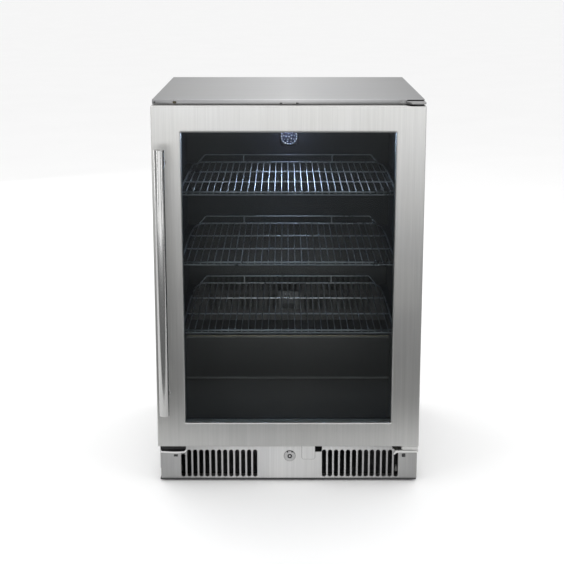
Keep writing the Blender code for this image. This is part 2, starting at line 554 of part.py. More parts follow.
xs = [(-SHELF_X, -SHELF_X + 5.0), (SHELF_X - 5.0, SHELF_X)]
xs += [(x - 1.5, x + 1.5) for x in ((i - (LONG_WIRES - 1) / 2) * LONG_PITCH for i in range(LONG_WIRES))]
ys = [(SHELF_FRONT, SHELF_FRONT + 5.0), (216.5, 220.5), (361.0, 365.0), (SHELF_REAR - 5.0, SHELF_REAR)]
for name, p in zip(("shelf_upper", "shelf_middle", "shelf_lower"), SHELF_PLANES):
    grid = wire_grid(sorted(xs), ys, p - 4.0, p)
    stop = prism([(-222.0, p - 2.0), (-213.5, p + 18.0), (213.5, p + 18.0), (222.0, p - 2.0), (217.6, p - 2.0), (210.4, p + 14.5),
                  (116.0, p + 14.5), (116.0, p - 2.0), (112.0, p - 2.0), (112.0, p + 14.5), (-112.0, p + 14.5), (-112.0, p - 2.0),
                  (-116.0, p - 2.0), (-116.0, p + 14.5), (-210.4, p + 14.5), (-217.6, p - 2.0)], "y", 506.3, 509.7)
    node(name, union(grid, stop), "chrome", (0.0, SHELF_FRONT, p))

# ================================================================ levelling feet
for name, (x, y) in FEET.items():
    node(name, turned([(0, 0.0), (16.0, 0.0), (17.0, 1.0), (17.0, 2.6), (12.0, 3.3), (5.2, 3.3), (5.2, 17.0), (0, 18.0)],
                      "z", (x, y), 16), "galvanised", (x, y, 0.0))
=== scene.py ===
import json
import math

import bmesh
import bpy
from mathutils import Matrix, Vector


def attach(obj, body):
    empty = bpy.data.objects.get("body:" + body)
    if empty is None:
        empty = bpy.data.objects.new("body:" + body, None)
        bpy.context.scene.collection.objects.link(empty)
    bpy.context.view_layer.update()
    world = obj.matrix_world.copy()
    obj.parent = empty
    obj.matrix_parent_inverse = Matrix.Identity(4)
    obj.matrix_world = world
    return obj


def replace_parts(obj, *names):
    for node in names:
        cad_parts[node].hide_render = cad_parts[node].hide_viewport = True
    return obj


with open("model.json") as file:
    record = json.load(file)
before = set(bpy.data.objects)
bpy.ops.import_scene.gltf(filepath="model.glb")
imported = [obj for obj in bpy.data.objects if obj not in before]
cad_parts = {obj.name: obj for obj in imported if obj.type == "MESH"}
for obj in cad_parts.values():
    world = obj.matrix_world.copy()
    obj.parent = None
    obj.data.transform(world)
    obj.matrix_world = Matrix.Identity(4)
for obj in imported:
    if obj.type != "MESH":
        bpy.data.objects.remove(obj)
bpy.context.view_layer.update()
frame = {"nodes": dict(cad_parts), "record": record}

RECORD = frame["record"]
BODY = {n: b for b, ns in RECORD["behaviour"]["bodies"].items() for n in ns}
OY = 252.5            # row y of the door's front face is -OY mm; lengths below are mm from that face

# ------------------------------------------------------------------ node material helpers


def new_material(name):
    m = bpy.data.materials.new(name)
    m.use_nodes = True
    nt = m.node_tree
    nt.nodes.clear()
    out = nt.nodes.new("ShaderNodeOutputMaterial")
    return m, nt, out


def link(nt, a, b):
    nt.links.new(a, b)


def coords(nt, scale=(1, 1, 1), rotation=(0, 0, 0)):
    tc = nt.nodes.new("ShaderNodeTexCoord")
    mp = nt.nodes.new("ShaderNodeMapping")
    mp.inputs["Scale"].default_value = scale
    mp.inputs["Rotation"].default_value = rotation
    link(nt, tc.outputs["Object"], mp.inputs["Vector"])
    return mp.outputs["Vector"]


def noise(nt, vector, scale=1.0, detail=3.0, rough=0.5, distortion=0.0):
    n = nt.nodes.new("ShaderNodeTexNoise")
    n.inputs["Scale"].default_value = scale
    n.inputs["Detail"].default_value = detail
    n.inputs["Roughness"].default_value = rough
    n.inputs["Distortion"].default_value = distortion
    link(nt, vector, n.inputs["Vector"])
    return n.outputs["Fac"]


def voronoi(nt, vector, scale, feature="F1"):
    n = nt.nodes.new("ShaderNodeTexVoronoi")
    n.feature = feature
    n.inputs["Scale"].default_value = scale
    link(nt, vector, n.inputs["Vector"])
    return n


def ramp(nt, fac, stops):
    r = nt.nodes.new("ShaderNodeValToRGB")
    el = r.color_ramp.elements
    while len(el) < len(stops):
        el.new(0.5)
    for e, (p, c) in zip(el, stops):
        e.position = p
        e.color = (c, c, c, 1) if isinstance(c, (int, float)) else (*c, 1)
    link(nt, fac, r.inputs["Fac"])
    return r.outputs["Color"]


def remap(nt, fac, lo, hi, a=0.0, b=1.0):
    r = nt.nodes.new("ShaderNodeMapRange")
    r.inputs["From Min"].default_value = a
    r.inputs["From Max"].default_value = b
    r.inputs["To Min"].default_value = lo
    r.inputs["To Max"].default_value = hi
    link(nt, fac, r.inputs["Value"])
    return r.outputs["Result"]


def blend(nt, a, b, fac=1.0, mode="MULTIPLY"):
    m = nt.nodes.new("ShaderNodeMix")
    m.data_type = "RGBA"
    m.blend_type = mode
    if isinstance(fac, (int, float)):
        m.inputs[0].default_value = fac
    else:
        link(nt, fac, m.inputs[0])
    for sock, v in ((m.inputs[6], a), (m.inputs[7], b)):
        if isinstance(v, tuple):
            sock.default_value = (*v, 1)
        else:
            link(nt, v, sock)
    return m.outputs[2]


def math_node(nt, op, a, b):
    m = nt.nodes.new("ShaderNodeMath")
    m.operation = op
    for sock, v in ((m.inputs[0], a), (m.inputs[1], b)):
        if isinstance(v, (int, float)):
            sock.default_value = v
        else:
            link(nt, v, sock)
    return m.outputs[0]


def bump(nt, height, strength, distance):
    b = nt.nodes.new("ShaderNodeBump")
    b.inputs["Strength"].default_value = strength
    b.inputs["Distance"].default_value = distance
    link(nt, height, b.inputs["Height"])
    return b.outputs["Normal"]


def principled(nt, out, **values):
    p = nt.nodes.new("ShaderNodeBsdfPrincipled")
    for k, v in values.items():
        p.inputs[k].default_value = v
    link(nt, p.outputs["BSDF"], out.inputs["Surface"])
    return p


def height_of(nt):
    tc = nt.nodes.new("ShaderNodeTexCoord")
    sp = nt.nodes.new("ShaderNodeSeparateXYZ")
    link(nt, tc.outputs["Object"], sp.inputs["Vector"])
    return sp.outputs


def brushed(name, grain="z", tone=(0.60, 0.60, 0.595), rough=0.30, aniso=0.55, z_painted_shade=None, x_painted_shade=None, streak=0.10, wear=True):
    """Brushed stainless: fine scratches along the grain, broader streaks, handling smudges and a slow change of tone;
    z_painted_shade and x_painted_shade paint shade into the base colour, darker along z or along x.
    """
    m, nt, out = new_material(name)
    fine = {"z": (2400, 2400, 9), "x": (9, 2400, 2400), "y": (2400, 9, 2400)}[grain]
    mid = {"z": (170, 170, 1.4), "x": (1.4, 170, 170), "y": (170, 1.4, 170)}[grain]
    wide = {"z": (26, 26, 0.5), "x": (0.5, 26, 26), "y": (26, 0.5, 26)}[grain]
    f = noise(nt, coords(nt, fine), 1.0, 2.0, 0.6)
    g = noise(nt, coords(nt, mid), 1.0, 3.0, 0.6)
    w = noise(nt, coords(nt, wide), 1.0, 2.0, 0.5)
    smudge = noise(nt, coords(nt, (5, 5, 5)), 1.0, 4.0, 0.55, 0.6)
    colour = ramp(nt, f, [(0.25, tuple(c * (1 - streak) for c in tone)), (0.75, tuple(min(1, c * (1 + streak)) for c in tone))])
    colour = blend(nt, colour, ramp(nt, g, [(0.3, 1 - streak * 0.9), (0.7, 1.0)]))
    colour = blend(nt, colour, ramp(nt, w, [(0.3, 0.95), (0.7, 1.0)]))
    if wear:
        colour = blend(nt, colour, ramp(nt, smudge, [(0.35, (0.965, 0.968, 0.975)), (0.65, (1.0, 1.0, 0.995))]))
    xyz = None
    # painted shade: the base colour is darkened along z by the z_painted_shade ramp
    if z_painted_shade:
        xyz = height_of(nt)
        colour = blend(nt, colour, ramp(nt, remap(nt, xyz["Z"], 0, 1, z_painted_shade[0], z_painted_shade[1]), z_painted_shade[2]))
    # painted shade: the base colour is darkened along x by the x_painted_shade ramp
    if x_painted_shade:
        xyz = xyz or height_of(nt)
        colour = blend(nt, colour, ramp(nt, remap(nt, xyz["X"], 0, 1, x_painted_shade[0], x_painted_shade[1]), x_painted_shade[2]))
    p = principled(nt, out, Metallic=1.0)
    p.inputs["Anisotropic"].default_value = aniso
    p.inputs["Anisotropic Rotation"].default_value = 0.0 if grain == "z" else 0.25
    tg = nt.nodes.new("ShaderNodeTangent")
    tg.direction_type = "RADIAL"
    tg.axis = "Z"
    link(nt, tg.outputs["Tangent"], p.inputs["Tangent"])
    link(nt, colour, p.inputs["Base Color"])
    r = math_node(nt, "ADD", remap(nt, f, -0.05, 0.05), remap(nt, smudge, rough - 0.015, rough + 0.03, 0.3, 0.7))
    link(nt, r, p.inputs["Roughness"])
    link(nt, bump(nt, f, 0.10, 0.00003), p.inputs["Normal"])
    return m


def plain(name, tone, rough, metallic=0.0, vary=0.12, grain=90.0, fine=1400.0, bump_by=0.12, depth=0.00008, spec=0.5, coat=0.0, tint=None):
    """A moulded, painted or cast surface: mottled tone, fine texture, uneven gloss."""
    m, nt, out = new_material(name)
    a = noise(nt, coords(nt, (grain,) * 3), 1.0, 4.0, 0.55)
    b = noise(nt, coords(nt, (fine,) * 3), 1.0, 2.0, 0.6)
    c = noise(nt, coords(nt, (6, 6, 6)), 1.0, 3.0, 0.5, 0.4)
    lo = tuple(v * (1 - vary) for v in tone)
    hi = tuple(min(1, v * (1 + vary)) for v in (tint or tone))
    colour = ramp(nt, a, [(0.3, lo), (0.7, hi)])
    colour = blend(nt, colour, ramp(nt, c, [(0.3, 1 - vary * 0.7), (0.7, 1.0)]))
    p = principled(nt, out, Metallic=metallic)
    p.inputs["Specular IOR Level"].default_value = spec
    p.inputs["Coat Weight"].default_value = coat
    link(nt, colour, p.inputs["Base Color"])
    r = math_node(nt, "ADD", remap(nt, a, -0.06, 0.06), remap(nt, c, rough - 0.04, rough + 0.06, 0.3, 0.7))
    link(nt, r, p.inputs["Roughness"])
    link(nt, bump(nt, b, bump_by, depth), p.inputs["Normal"])
    return m


def galvanised(name):
    """Zinc coated sheet with its spangle."""
    m, nt, out = new_material(name)
    v = voronoi(nt, coords(nt, (1, 1, 1)), 150.0)
    n = noise(nt, coords(nt, (9, 9, 9)), 1.0, 3.0, 0.5)
    f = noise(nt, coords(nt, (900, 900, 900)), 1.0, 2.0, 0.5)
    cell = nt.nodes.new("ShaderNodeSeparateColor")
    link(nt, v.outputs["Color"], cell.inputs["Color"])
    colour = ramp(nt, cell.outputs["Red"], [(0.0, (0.47, 0.485, 0.495)), (1.0, (0.53, 0.54, 0.55))])
    colour = blend(nt, colour, ramp(nt, n, [(0.3, 0.90), (0.7, 1.0)]))
    p = principled(nt, out, Metallic=1.0)
    link(nt, colour, p.inputs["Base Color"])
    link(nt, remap(nt, cell.outputs["Green"], 0.42, 0.50), p.inputs["Roughness"])
    link(nt, bump(nt, f, 0.08, 0.00005), p.inputs["Normal"])
    return m


def glass(name, tint=(0.81, 0.825, 0.83), haze=0.02, mirror=0.006):
    """A flat pane: it lets light straight through with a faint tint, and mirrors more at grazing angles."""
    m, nt, out = new_material(name)
    smear = noise(nt, coords(nt, (7, 7, 3)), 1.0, 4.0, 0.6, 0.8)
    see = nt.nodes.new("ShaderNodeBsdfTransparent")
    link(nt, ramp(nt, smear, [(0.3, tuple(c * 0.985 for c in tint)), (0.7, tint)]), see.inputs["Color"])
    shine = nt.nodes.new("ShaderNodeBsdfGlossy")
    link(nt, remap(nt, smear, haze, haze + 0.05, 0.3, 0.8), shine.inputs["Roughness"])
    shine.inputs["Color"].default_value = (0.94, 0.96, 0.97, 1)
    lw = nt.nodes.new("ShaderNodeLayerWeight")
    lw.inputs["Blend"].default_value = 0.5
    edge = math_node(nt, "POWER", lw.outputs["Facing"], 5.0)
    fac = math_node(nt, "ADD", math_node(nt, "MULTIPLY", edge, 0.85), mirror)
    mix = nt.nodes.new("ShaderNodeMixShader")
    link(nt, fac, mix.inputs["Fac"])
    link(nt, see.outputs["BSDF"], mix.inputs[1])
    link(nt, shine.outputs["BSDF"], mix.inputs[2])
    link(nt, mix.outputs["Shader"], out.inputs["Surface"])
    return m


def lamp_lens(name):
    """A prismatic lamp lens: bright points between dimmer cells."""
    m, nt, out = new_material(name)
    v = voronoi(nt, coords(nt, (1, 1, 1)), 260.0)
    c = ramp(nt, v.outputs["Distance"], [(0.0, (0.16, 0.19, 0.40)), (0.3, (0.06, 0.075, 0.17)), (0.7, (0.02, 0.025, 0.06))])
    p = principled(nt, out, Roughness=0.15)
    p.inputs["Base Color"].default_value = (0.035, 0.04, 0.07, 1)
    link(nt, c, p.inputs["Emission Color"])
    p.inputs["Emission Strength"].default_value = 0.45
    link(nt, bump(nt, v.outputs["Distance"], 0.5, 0.001), p.inputs["Normal"])
    return m



def lamp_spark(name):
    """The small lit facets of the lamp."""
    m, nt, out = new_material(name)
    n = noise(nt, coords(nt, (160, 160, 160)), 1.0, 2.0, 0.5)
    p = principled(nt, out, Roughness=0.2)
    p.inputs["Base Color"].default_value = (0.7, 0.78, 0.95, 1)
    link(nt, ramp(nt, n, [(0.3, (0.40, 0.50, 0.90)), (0.7, (0.95, 0.98, 1.0))]), p.inputs["Emission Color"])
    p.inputs["Emission Strength"].default_value = 4.0
    return m


M = {
    # painted shade: the door's base colour is darker towards the bottom, standing for the reflected light falling off
    # downwards
    "door": brushed("door_brushed_painted_shade", "z", (0.62, 0.62, 0.61), 0.34, z_painted_shade=(0.095, 0.872, [(0.0, 0.76), (0.35, 0.88), (0.8, 0.95), (1.0, 0.96)])),
    # painted shade and highlight: the cover's base colour is brightest at the centre and darker towards both ends
    "top": brushed("cover_brushed_painted_shade", "x", (0.55, 0.552, 0.558), 0.42, 0.0, x_painted_shade=(-0.2975, 0.2975, [(0.0, 0.52), (0.25, 0.76), (0.5, 1.0), (0.75, 0.76), (1.0, 0.50)])),
    # painted shade: the kick plate's base colour is brightest at the centre and darker towards both ends
    "kick": brushed("kick_brushed_painted_shade", "z", (0.68, 0.68, 0.678), 0.34, x_painted_shade=(-0.2975, 0.2975, [(0.0, 0.47), (0.12, 0.62), (0.30, 0.92), (0.5, 1.0), (0.70, 0.90), (0.88, 0.62), (1.0, 0.46)])),
    "tab": brushed("tab_brushed", "x", (0.74, 0.74, 0.735), 0.30, 0.0),
    "side": brushed("side_brushed", "z", (0.55, 0.55, 0.548), 0.36),
    "frame": brushed("frame_brushed", "z", (0.52, 0.52, 0.52), 0.38),
    "handle": brushed("handle_brushed", "z", (0.47, 0.47, 0.467), 0.18, 0.3, streak=0.07),
    "zinc": galvanised("zinc_sheet"),
    "bracket": plain("bracket_zinc", (0.62, 0.62, 0.61), 0.36, 1.0, 0.06),
    # painted shade: the bracket zinc darkened, used for the top hinge plate and its screw
    "bracket_shaded": plain("bracket_zinc_painted_shade", (0.33, 0.33, 0.33), 0.42, 1.0, 0.06),
    "cap": plain("screw_cap", (0.55, 0.56, 0.58), 0.35, vary=0.08),
    "bush": plain("bush_nylon", (0.46, 0.46, 0.45), 0.5, vary=0.08),
    "liner": plain("liner_plastic", (0.056, 0.055, 0.054), 0.44, vary=0.07, grain=40, bump_by=0.10, depth=0.00012),
    "duct": plain("duct_plastic", (0.098, 0.096, 0.094), 0.46, vary=0.08, grain=50),
    "boss": plain("boss_plastic", (0.15, 0.15, 0.15), 0.5, vary=0.3, grain=900),
    "black": plain("black_plastic_detail", (0.020, 0.020, 0.022), 0.45, vary=0.2),
    "grey": plain("grey_plastic_detail", (0.095, 0.097, 0.10), 0.5, vary=0.15),
    "paint": plain("black_paint", (0.022, 0.022, 0.024), 0.42, vary=0.2, coat=0.1),
    "rubber": plain("rubber_detail", (0.022, 0.022, 0.022), 0.75, vary=0.25, bump_by=0.3),
    "chrome": plain("wire_nickel", (0.66, 0.68, 0.71), 0.30, 1.0, 0.08, grain=160, bump_by=0.05),
    "screw": plain("screw_steel", (0.66, 0.66, 0.66), 0.28, 1.0, 0.10, grain=500),
    "aluminium": plain("aluminium_detail", (0.66, 0.67, 0.68), 0.34, 1.0, 0.08, grain=300),
    # painted shade: the aluminium darkened, used for the evaporator coil
    "aluminium_in_shade": plain("aluminium_shade", (0.16, 0.165, 0.17), 0.5, 1.0, 0.08, grain=300),
    "copper": plain("copper_detail", (0.72, 0.38, 0.23), 0.30, 1.0, 0.22, grain=120, tint=(0.80, 0.46, 0.30)),
    "foam": plain("foam_detail", (0.72, 0.62, 0.38), 0.95, vary=0.1, bump_by=0.4, depth=0.0006),
    "glass": glass("pane_glass", mirror=0.006),
    "glass_coated": glass("pane_glass_coated", (0.815, 0.83, 0.835), mirror=0.003),
    "lens": lamp_lens("lamp_lens_detail"),
    "spark": lamp_spark("lamp_spark"),
}

# ------------------------------------------------------------------ mesh helpers (mm, y from the door face)


def to_object(name, bm, material, body, replaces=(), smooth=35.0, bevel=0.0, segments=2, angle=40.0, recalc=True):
    if recalc:
        bmesh.ops.recalc_face_normals(bm, faces=bm.faces)
    for v in bm.verts:
        v.co = Vector((v.co.x, v.co.y - OY, v.co.z)) * 0.001
    me = bpy.data.meshes.new(name)
    bm.to_mesh(me)
    bm.free()
    ob = bpy.data.objects.new(name, me)
    bpy.context.scene.collection.objects.link(ob)
    me.materials.append(M[material])
    me.shade_smooth()
    me.set_sharp_from_angle(angle=math.radians(smooth))
    if bevel:
        b = ob.modifiers.new("edge", "BEVEL")
        b.width = bevel * 0.001
        b.segments = segments
        b.limit_method = "ANGLE"
        b.angle_limit = math.radians(angle)
        b.harden_normals = True
    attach(ob, body)
    if replaces:
        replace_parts(ob, *replaces)
    return ob


def bm_box(bm, x0, x1, y0, y1, z0, z1):
    r = bmesh.ops.create_cube(bm, size=1.0)
    bmesh.ops.scale(bm, vec=(x1 - x0, y1 - y0, z1 - z0), verts=r["verts"])
    bmesh.ops.translate(bm, vec=((x0 + x1) / 2, (y0 + y1) / 2, (z0 + z1) / 2), verts=r["verts"])
    return r["verts"]


AX = {"x": lambda u, v, w: (w, u, v), "y": lambda u, v, w: (u, w, v), "z": lambda u, v, w: (u, v, w)}


def bm_prism(bm, outline, axis, lo, hi, holes=()):
    flat = bmesh.new()
    edges, loops = [], []
    for ring in (outline, *holes):
        vs = [flat.verts.new((u, v, 0)) for u, v in ring]
        loops.append(len(vs))
        edges += [flat.edges.new((vs[i - 1], vs[i])) for i in range(len(vs))]
    flat.verts.index_update()
    bmesh.ops.triangle_fill(flat, use_beauty=True, use_dissolve=False, edges=edges)
    pts = [v.co.copy() for v in flat.verts]
    faces = [[v.index for v in f.verts] for f in flat.faces]
    flat.free()
    at = AX[axis]
    low = [bm.verts.new(at(p.x, p.y, lo)) for p in pts]
    high = [bm.verts.new(at(p.x, p.y, hi)) for p in pts]
    for f in faces:
        bm.faces.new([low[i] for i in reversed(f)])
        bm.faces.new([high[i] for i in f])
    s = 0
    for n in loops:
        for i in range(n):
            a, b = s + i, s + (i + 1) % n
            bm.faces.new((low[a], low[b], high[b], high[a]))
        s += n


def bm_turned(bm, profile, axis, at, seg=48, closed=False, squash=(1, 1)):
    place = {"z": lambda a, b, h: (at[0] + a, at[1] + b, h), "y": lambda a, b, h: (at[0] + a, h, at[1] + b),
             "x": lambda a, b, h: (h, at[0] + a, at[1] + b)}[axis]
    rings = []
    for r, h in profile:
        if r == 0:
            rings.append([bm.verts.new(place(0, 0, h))])
        else:
            rings.append([bm.verts.new(place(squash[0] * r * math.cos(2 * math.pi * i / seg), squash[1] * r * math.sin(2 * math.pi * i / seg), h))
                          for i in range(seg)])
    pairs = list(zip(rings, rings[1:])) + ([(rings[-1], rings[0])] if closed else [])
    for a, b in pairs:
        for i in range(seg):
            j = (i + 1) % seg
            if len(a) == 1:
                bm.faces.new((a[0], b[i], b[j]))
            elif len(b) == 1:
                bm.faces.new((a[i], b[0], a[j]))
            else:
                bm.faces.new((a[i], b[i], b[j], a[j]))


def smooth_path(points, per=8):
    k = [Vector(p) for p in points]
    e = [k[0] * 2 - k[1], *k, k[-1] * 2 - k[-2]]
    out = []
    for i in range(1, len(e) - 2):
        a, b, c, d = e[i - 1:i + 3]
        for s in range(per):
            t = s / per
            out.append(0.5 * ((2 * b) + (c - a) * t + (2 * a - 5 * b + 4 * c - d) * t * t + (3 * b - a - 3 * c + d) * t ** 3))
    out.append(k[-1])
    return out


def bm_tube(bm, path, radius, seg=10, closed=False):
    """A round tube along points, with flat ends."""
    pts = [Vector(p) for p in path]
    n = len(pts)
    rings = []
    side = None
    for i, p in enumerate(pts):
        if closed:
            d = (pts[(i + 1) % n] - pts[i - 1]).normalized()
        else:
            d = (pts[min(i + 1, n - 1)] - pts[max(i - 1, 0)]).normalized()
        if side is None:
            side = d.orthogonal().normalized()
        else:
            side = (side - d * side.dot(d)).normalized()
        up = d.cross(side)
        rings.append([bm.verts.new(p + (side * math.cos(2 * math.pi * k / seg) + up * math.sin(2 * math.pi * k / seg)) * radius)
                      for k in range(seg)])
    pairs = list(zip(rings, rings[1:])) + ([(rings[-1], rings[0])] if closed else [])
    for a, b in pairs:
        for k in range(seg):
            j = (k + 1) % seg
            bm.faces.new((a[k], a[j], b[j], b[k]))
    if not closed:
        bm.faces.new(list(reversed(rings[0])))
        bm.faces.new(rings[-1])


def round_rect(x0, x1, y0, y1, r, steps=5):
    r = max(r, 0.01)
    pts = []
    for cx, cy, a0 in ((x1 - r, y1 - r, 0), (x0 + r, y1 - r, 90), (x0 + r, y0 + r, 180), (x1 - r, y0 + r, 270)):
        for i in range(steps + 1):
            a = math.radians(a0 + 90 * i / steps)
            pts.append((cx + r * math.cos(a), cy + r * math.sin(a)))
    return pts


def bm_loft(bm, loops, axis, closed=False, caps=True, steps=5):
    """Rounded rectangles (x0, x1, v0, v1, r, w) joined in order; w runs along the axis."""
    at = AX[axis]
    rings = [[bm.verts.new(at(u, v, w)) for u, v in round_rect(x0, x1, v0, v1, r, steps)] for x0, x1, v0, v1, r, w in loops]
    n = len(rings[0])
    pairs = list(zip(rings, rings[1:])) + ([(rings[-1], rings[0])] if closed else [])
    for a, b in pairs:
        for i in range(n):
            j = (i + 1) % n
            bm.faces.new((a[i], a[j], b[j], b[i]))
    if caps and not closed:
        bm.faces.new(list(reversed(rings[0])))
        bm.faces.new(rings[-1])


def subtract(ob, *shapes):
    """Cuts closed temporary shapes (bmesh, mm) out of a piece and keeps the result as its mesh."""
    cutters = []
    for bm in shapes:
        bmesh.ops.recalc_face_normals(bm, faces=bm.faces)
        for v in bm.verts:
            v.co = Vector((v.co.x, v.co.y - OY, v.co.z)) * 0.001
        me = bpy.data.meshes.new("cutter")
        bm.to_mesh(me)
        bm.free()
        c = bpy.data.objects.new("cutter", me)
        bpy.context.scene.collection.objects.link(c)
        cutters.append(c)
    kept = [(m.name, m.width, m.segments, m.angle_limit) for m in ob.modifiers if m.type == "BEVEL"]
    ob.modifiers.clear()
    for c in cutters:
        m = ob.modifiers.new("cut", "BOOLEAN")
        m.operation = "DIFFERENCE"
        m.solver = "EXACT"
        m.object = c
    bpy.context.view_layer.update()
    dg = bpy.context.evaluated_depsgraph_get()
    me = bpy.data.meshes.new_from_object(ob.evaluated_get(dg))
    ob.modifiers.clear()
    ob.data = me
    for c in cutters:
        bpy.data.objects.remove(c, do_unlink=True)
    for name, width, segs, ang in kept:
        b = ob.modifiers.new(name, "BEVEL")
        b.width, b.segments, b.limit_method, b.angle_limit, b.harden_normals = width, segs, "ANGLE", ang, True
    return ob


def box_bm(*a):
    bm = bmesh.new()
    bm_box(bm, *a)
    return bm


def refine(node, material, bevel=0.4, segments=2, angle=35.0):
    """A copy of a CAD node's own surface with rounded edges, which stands for the node."""
    src = frame["nodes"][node]
    bm = bmesh.new()
    bm.from_mesh(src.data)
    bmesh.ops.remove_doubles(bm, verts=bm.verts, dist=1e-6)
    bmesh.ops.dissolve_limit(bm, angle_limit=math.radians(1.0), verts=bm.verts, edges=bm.edges)
    for v in bm.verts:
        v.co = Vector((v.co.x * 1000, v.co.y * 1000 + OY, v.co.z * 1000))
    return to_object(node + "_body", bm, material, BODY[node], (node,), smooth=angle, bevel=bevel, segments=segments, angle=angle)


def paint(node, material):
    ob = frame["nodes"][node]
    ob.data.materials.clear()
    ob.data.materials.append(M[material])


def pan_head(name, x, y, z, axis, r, body, material="screw", sign=-1, cross=True):
    """A domed screw head with a crossed recess. sign is the way it faces along the axis."""
    bm = bmesh.new()
    at = {"y": (x, z), "x": (y, z), "z": (x, y)}[axis]
    h0 = {"y": y, "x": x, "z": z}[axis]
    prof = [(0, h0 + sign * r * 0.52), (r * 0.45, h0 + sign * r * 0.50), (r * 0.8, h0 + sign * r * 0.36), (r, h0 + sign * r * 0.12), (r, h0), (0, h0)]
    bm_turned(bm, prof, axis, at, 28)
    ob = to_object(name, bm, material, body)
    if cross:
        t = r * 0.13
        d = r * 0.6
        lo, hi = sorted((h0 + sign * r * 0.25, h0 + sign * r * 0.9))
        if axis == "y":
            subtract(ob, box_bm(x - d, x + d, lo, hi, z - t, z + t), box_bm(x - t, x + t, lo, hi, z - d, z + d))
        elif axis == "x":
            subtract(ob, box_bm(lo, hi, y - d, y + d, z - t, z + t), box_bm(lo, hi, y - t, y + t, z - d, z + d))
    return ob


# ------------------------------------------------------------------ camera, light, floor
CAM = dict(x=-7.86, y=-2691.4 - OY, z=1175.5, pitch=0.21597, f=1253.64, shift_x_px=2.838)
cam = bpy.data.cameras.new("camera")
cam_ob = bpy.data.objects.new("camera", cam)
bpy.context.scene.collection.objects.link(cam_ob)
cam.sensor_width = 36.0
cam.lens = 36.0 * CAM["f"] / 564.0
cam.shift_x = -CAM["shift_x_px"] / 564.0
cam.shift_y = -0.08
cam_ob.location = (CAM["x"] * 0.001, CAM["y"] * 0.001, CAM["z"] * 0.001)
cam_ob.rotation_euler = (math.pi / 2 - CAM["pitch"], 0, 0)
bpy.context.scene.camera = cam_ob

world = bpy.data.worlds.new("studio")
bpy.context.scene.world = world
world.use_nodes = True
wt = world.node_tree
wt.nodes.clear()
wo = wt.nodes.new("ShaderNodeOutputWorld")
bg = wt.nodes.new("ShaderNodeBackground")
wc = wt.nodes.new("ShaderNodeTexCoord")
ws = wt.nodes.new("ShaderNodeSeparateXYZ")
link(wt, wc.outputs["Generated"], ws.inputs["Vector"])
sky = ramp(wt, ws.outputs["Z"], [(0.0, 0.34), (0.15, 0.42), (0.5, 0.92), (0.9, 1.12)])
back = ramp(wt, ws.outputs["Y"], [(0.80, 0.0), (1.0, 0.32)])
sky = blend(wt, sky, back, 1.0, "ADD")
seen = wt.nodes.new("ShaderNodeLightPath")
sky = blend(wt, sky, (0.94, 0.94, 0.94), seen.outputs["Is Camera Ray"], "MIX")
link(wt, sky, bg.inputs["Color"])
bg.inputs["Strength"].default_value = 1.0
link(wt, bg.outputs["Background"], wo.inputs["Surface"])


def area(name, loc, target, size, power, colour=(1, 1, 1), size_y=None):
    l = bpy.data.lights.new(name, "AREA")
    l.energy = power
    l.color = colour
    l.size = size
    if size_y:
        l.shape = "RECTANGLE"
        l.size_y = size_y
    ob = bpy.data.objects.new(name, l)
    bpy.context.scene.collection.objects.link(ob)
    ob.location = loc
    ob.rotation_euler = (Vector(target) - Vector(loc)).to_track_quat("-Z", "Y").to_euler()
    return ob


area("key_left", (-2.6, -2.6, 1.5), (-0.2, -0.3, 0.6), 0.7, 15, size_y=2.2)
area("key_right", (2.6, -2.4, 1.5), (0.2, -0.3, 0.6), 0.7, 13, size_y=2.2)
area("front_box", (0.0, -5.4, 1.25), (0.0, 0.0, 0.75), 5.0, 46, size_y=2.3)
area("top", (0.0, 0.4, 3.0), (0, 0.2, 0.8), 2.4, 20)
area("rear", (-2.3, 3.2, 0.8), (0, 0, 0.4), 1.4, 26)
area("lamp_glow", (0.003, 0.195, 0.765), (0.003, 0.26, 0.745), 0.03, 0.035, (0.50, 0.56, 1.0))
area("bay_glow", (0.0, -0.02, 0.335), (0.0, 0.10, 0.20), 0.36, 0.42, (1.0, 0.985, 0.96), 0.10)
area("cabinet_lamp", (0.003, 0.222, 0.738), (0.003, -0.12, 0.52), 0.16, 0.52, (0.62, 0.75, 1.0), 0.04)
area("cabinet_front_glow", (0.0, -0.165, 0.826), (0.0, 0.05, 0.55), 0.44, 0.16, (0.80, 0.88, 1.0), 0.03)

bm = bmesh.new()
bmesh.ops.create_grid(bm, x_segments=2, y_segments=2, size=300.0)
me = bpy.data.meshes.new("floor")
bm.to_mesh(me)
bm.free()
floor = bpy.data.objects.new("floor", me)
bpy.context.scene.collection.objects.link(floor)
fm, fnt, fout = new_material("studio_floor")
fp = principled(fnt, fout, Roughness=0.85)
link(fnt, ramp(fnt, noise(fnt, coords(fnt, (2, 2, 2)), 1.0, 3.0, 0.5), [(0.3, 0.955), (0.7, 0.97)]), fp.inputs["Base Color"])
me.materials.append(fm)

# a dim card on the studio floor in front, which only the gloss of the steel and the glass sees
bm = bmesh.new()
bmesh.ops.create_grid(bm, x_segments=1, y_segments=1, size=0.5)
for v in bm.verts:
    v.co = Vector((v.co.x * 12.0, -0.62 if v.co.y > 0 else -6.5, 0.004))
me = bpy.data.meshes.new("floor_card")
bm.to_mesh(me)
bm.free()
card = bpy.data.objects.new("floor_card", me)
bpy.context.scene.collection.objects.link(card)
cm, cnt, cout = new_material("floor_card_tone")
ce = cnt.nodes.new("ShaderNodeEmission")
cc = height_of(cnt)
link(cnt, ramp(cnt, remap(cnt, cc["Y"], 0, 1, -0.6, -4.5), [(0.0, 0.22), (0.35, 0.32), (1.0, 0.85)]), ce.inputs["Color"])
link(cnt, ce.outputs["Emission"], cout.inputs["Surface"])
me.materials.append(cm)
card.visible_camera = False
card.visible_diffuse = False
card.visible_shadow = False
card.visible_transmission = False
bpy.context.scene.view_settings.view_transform = "Standard"

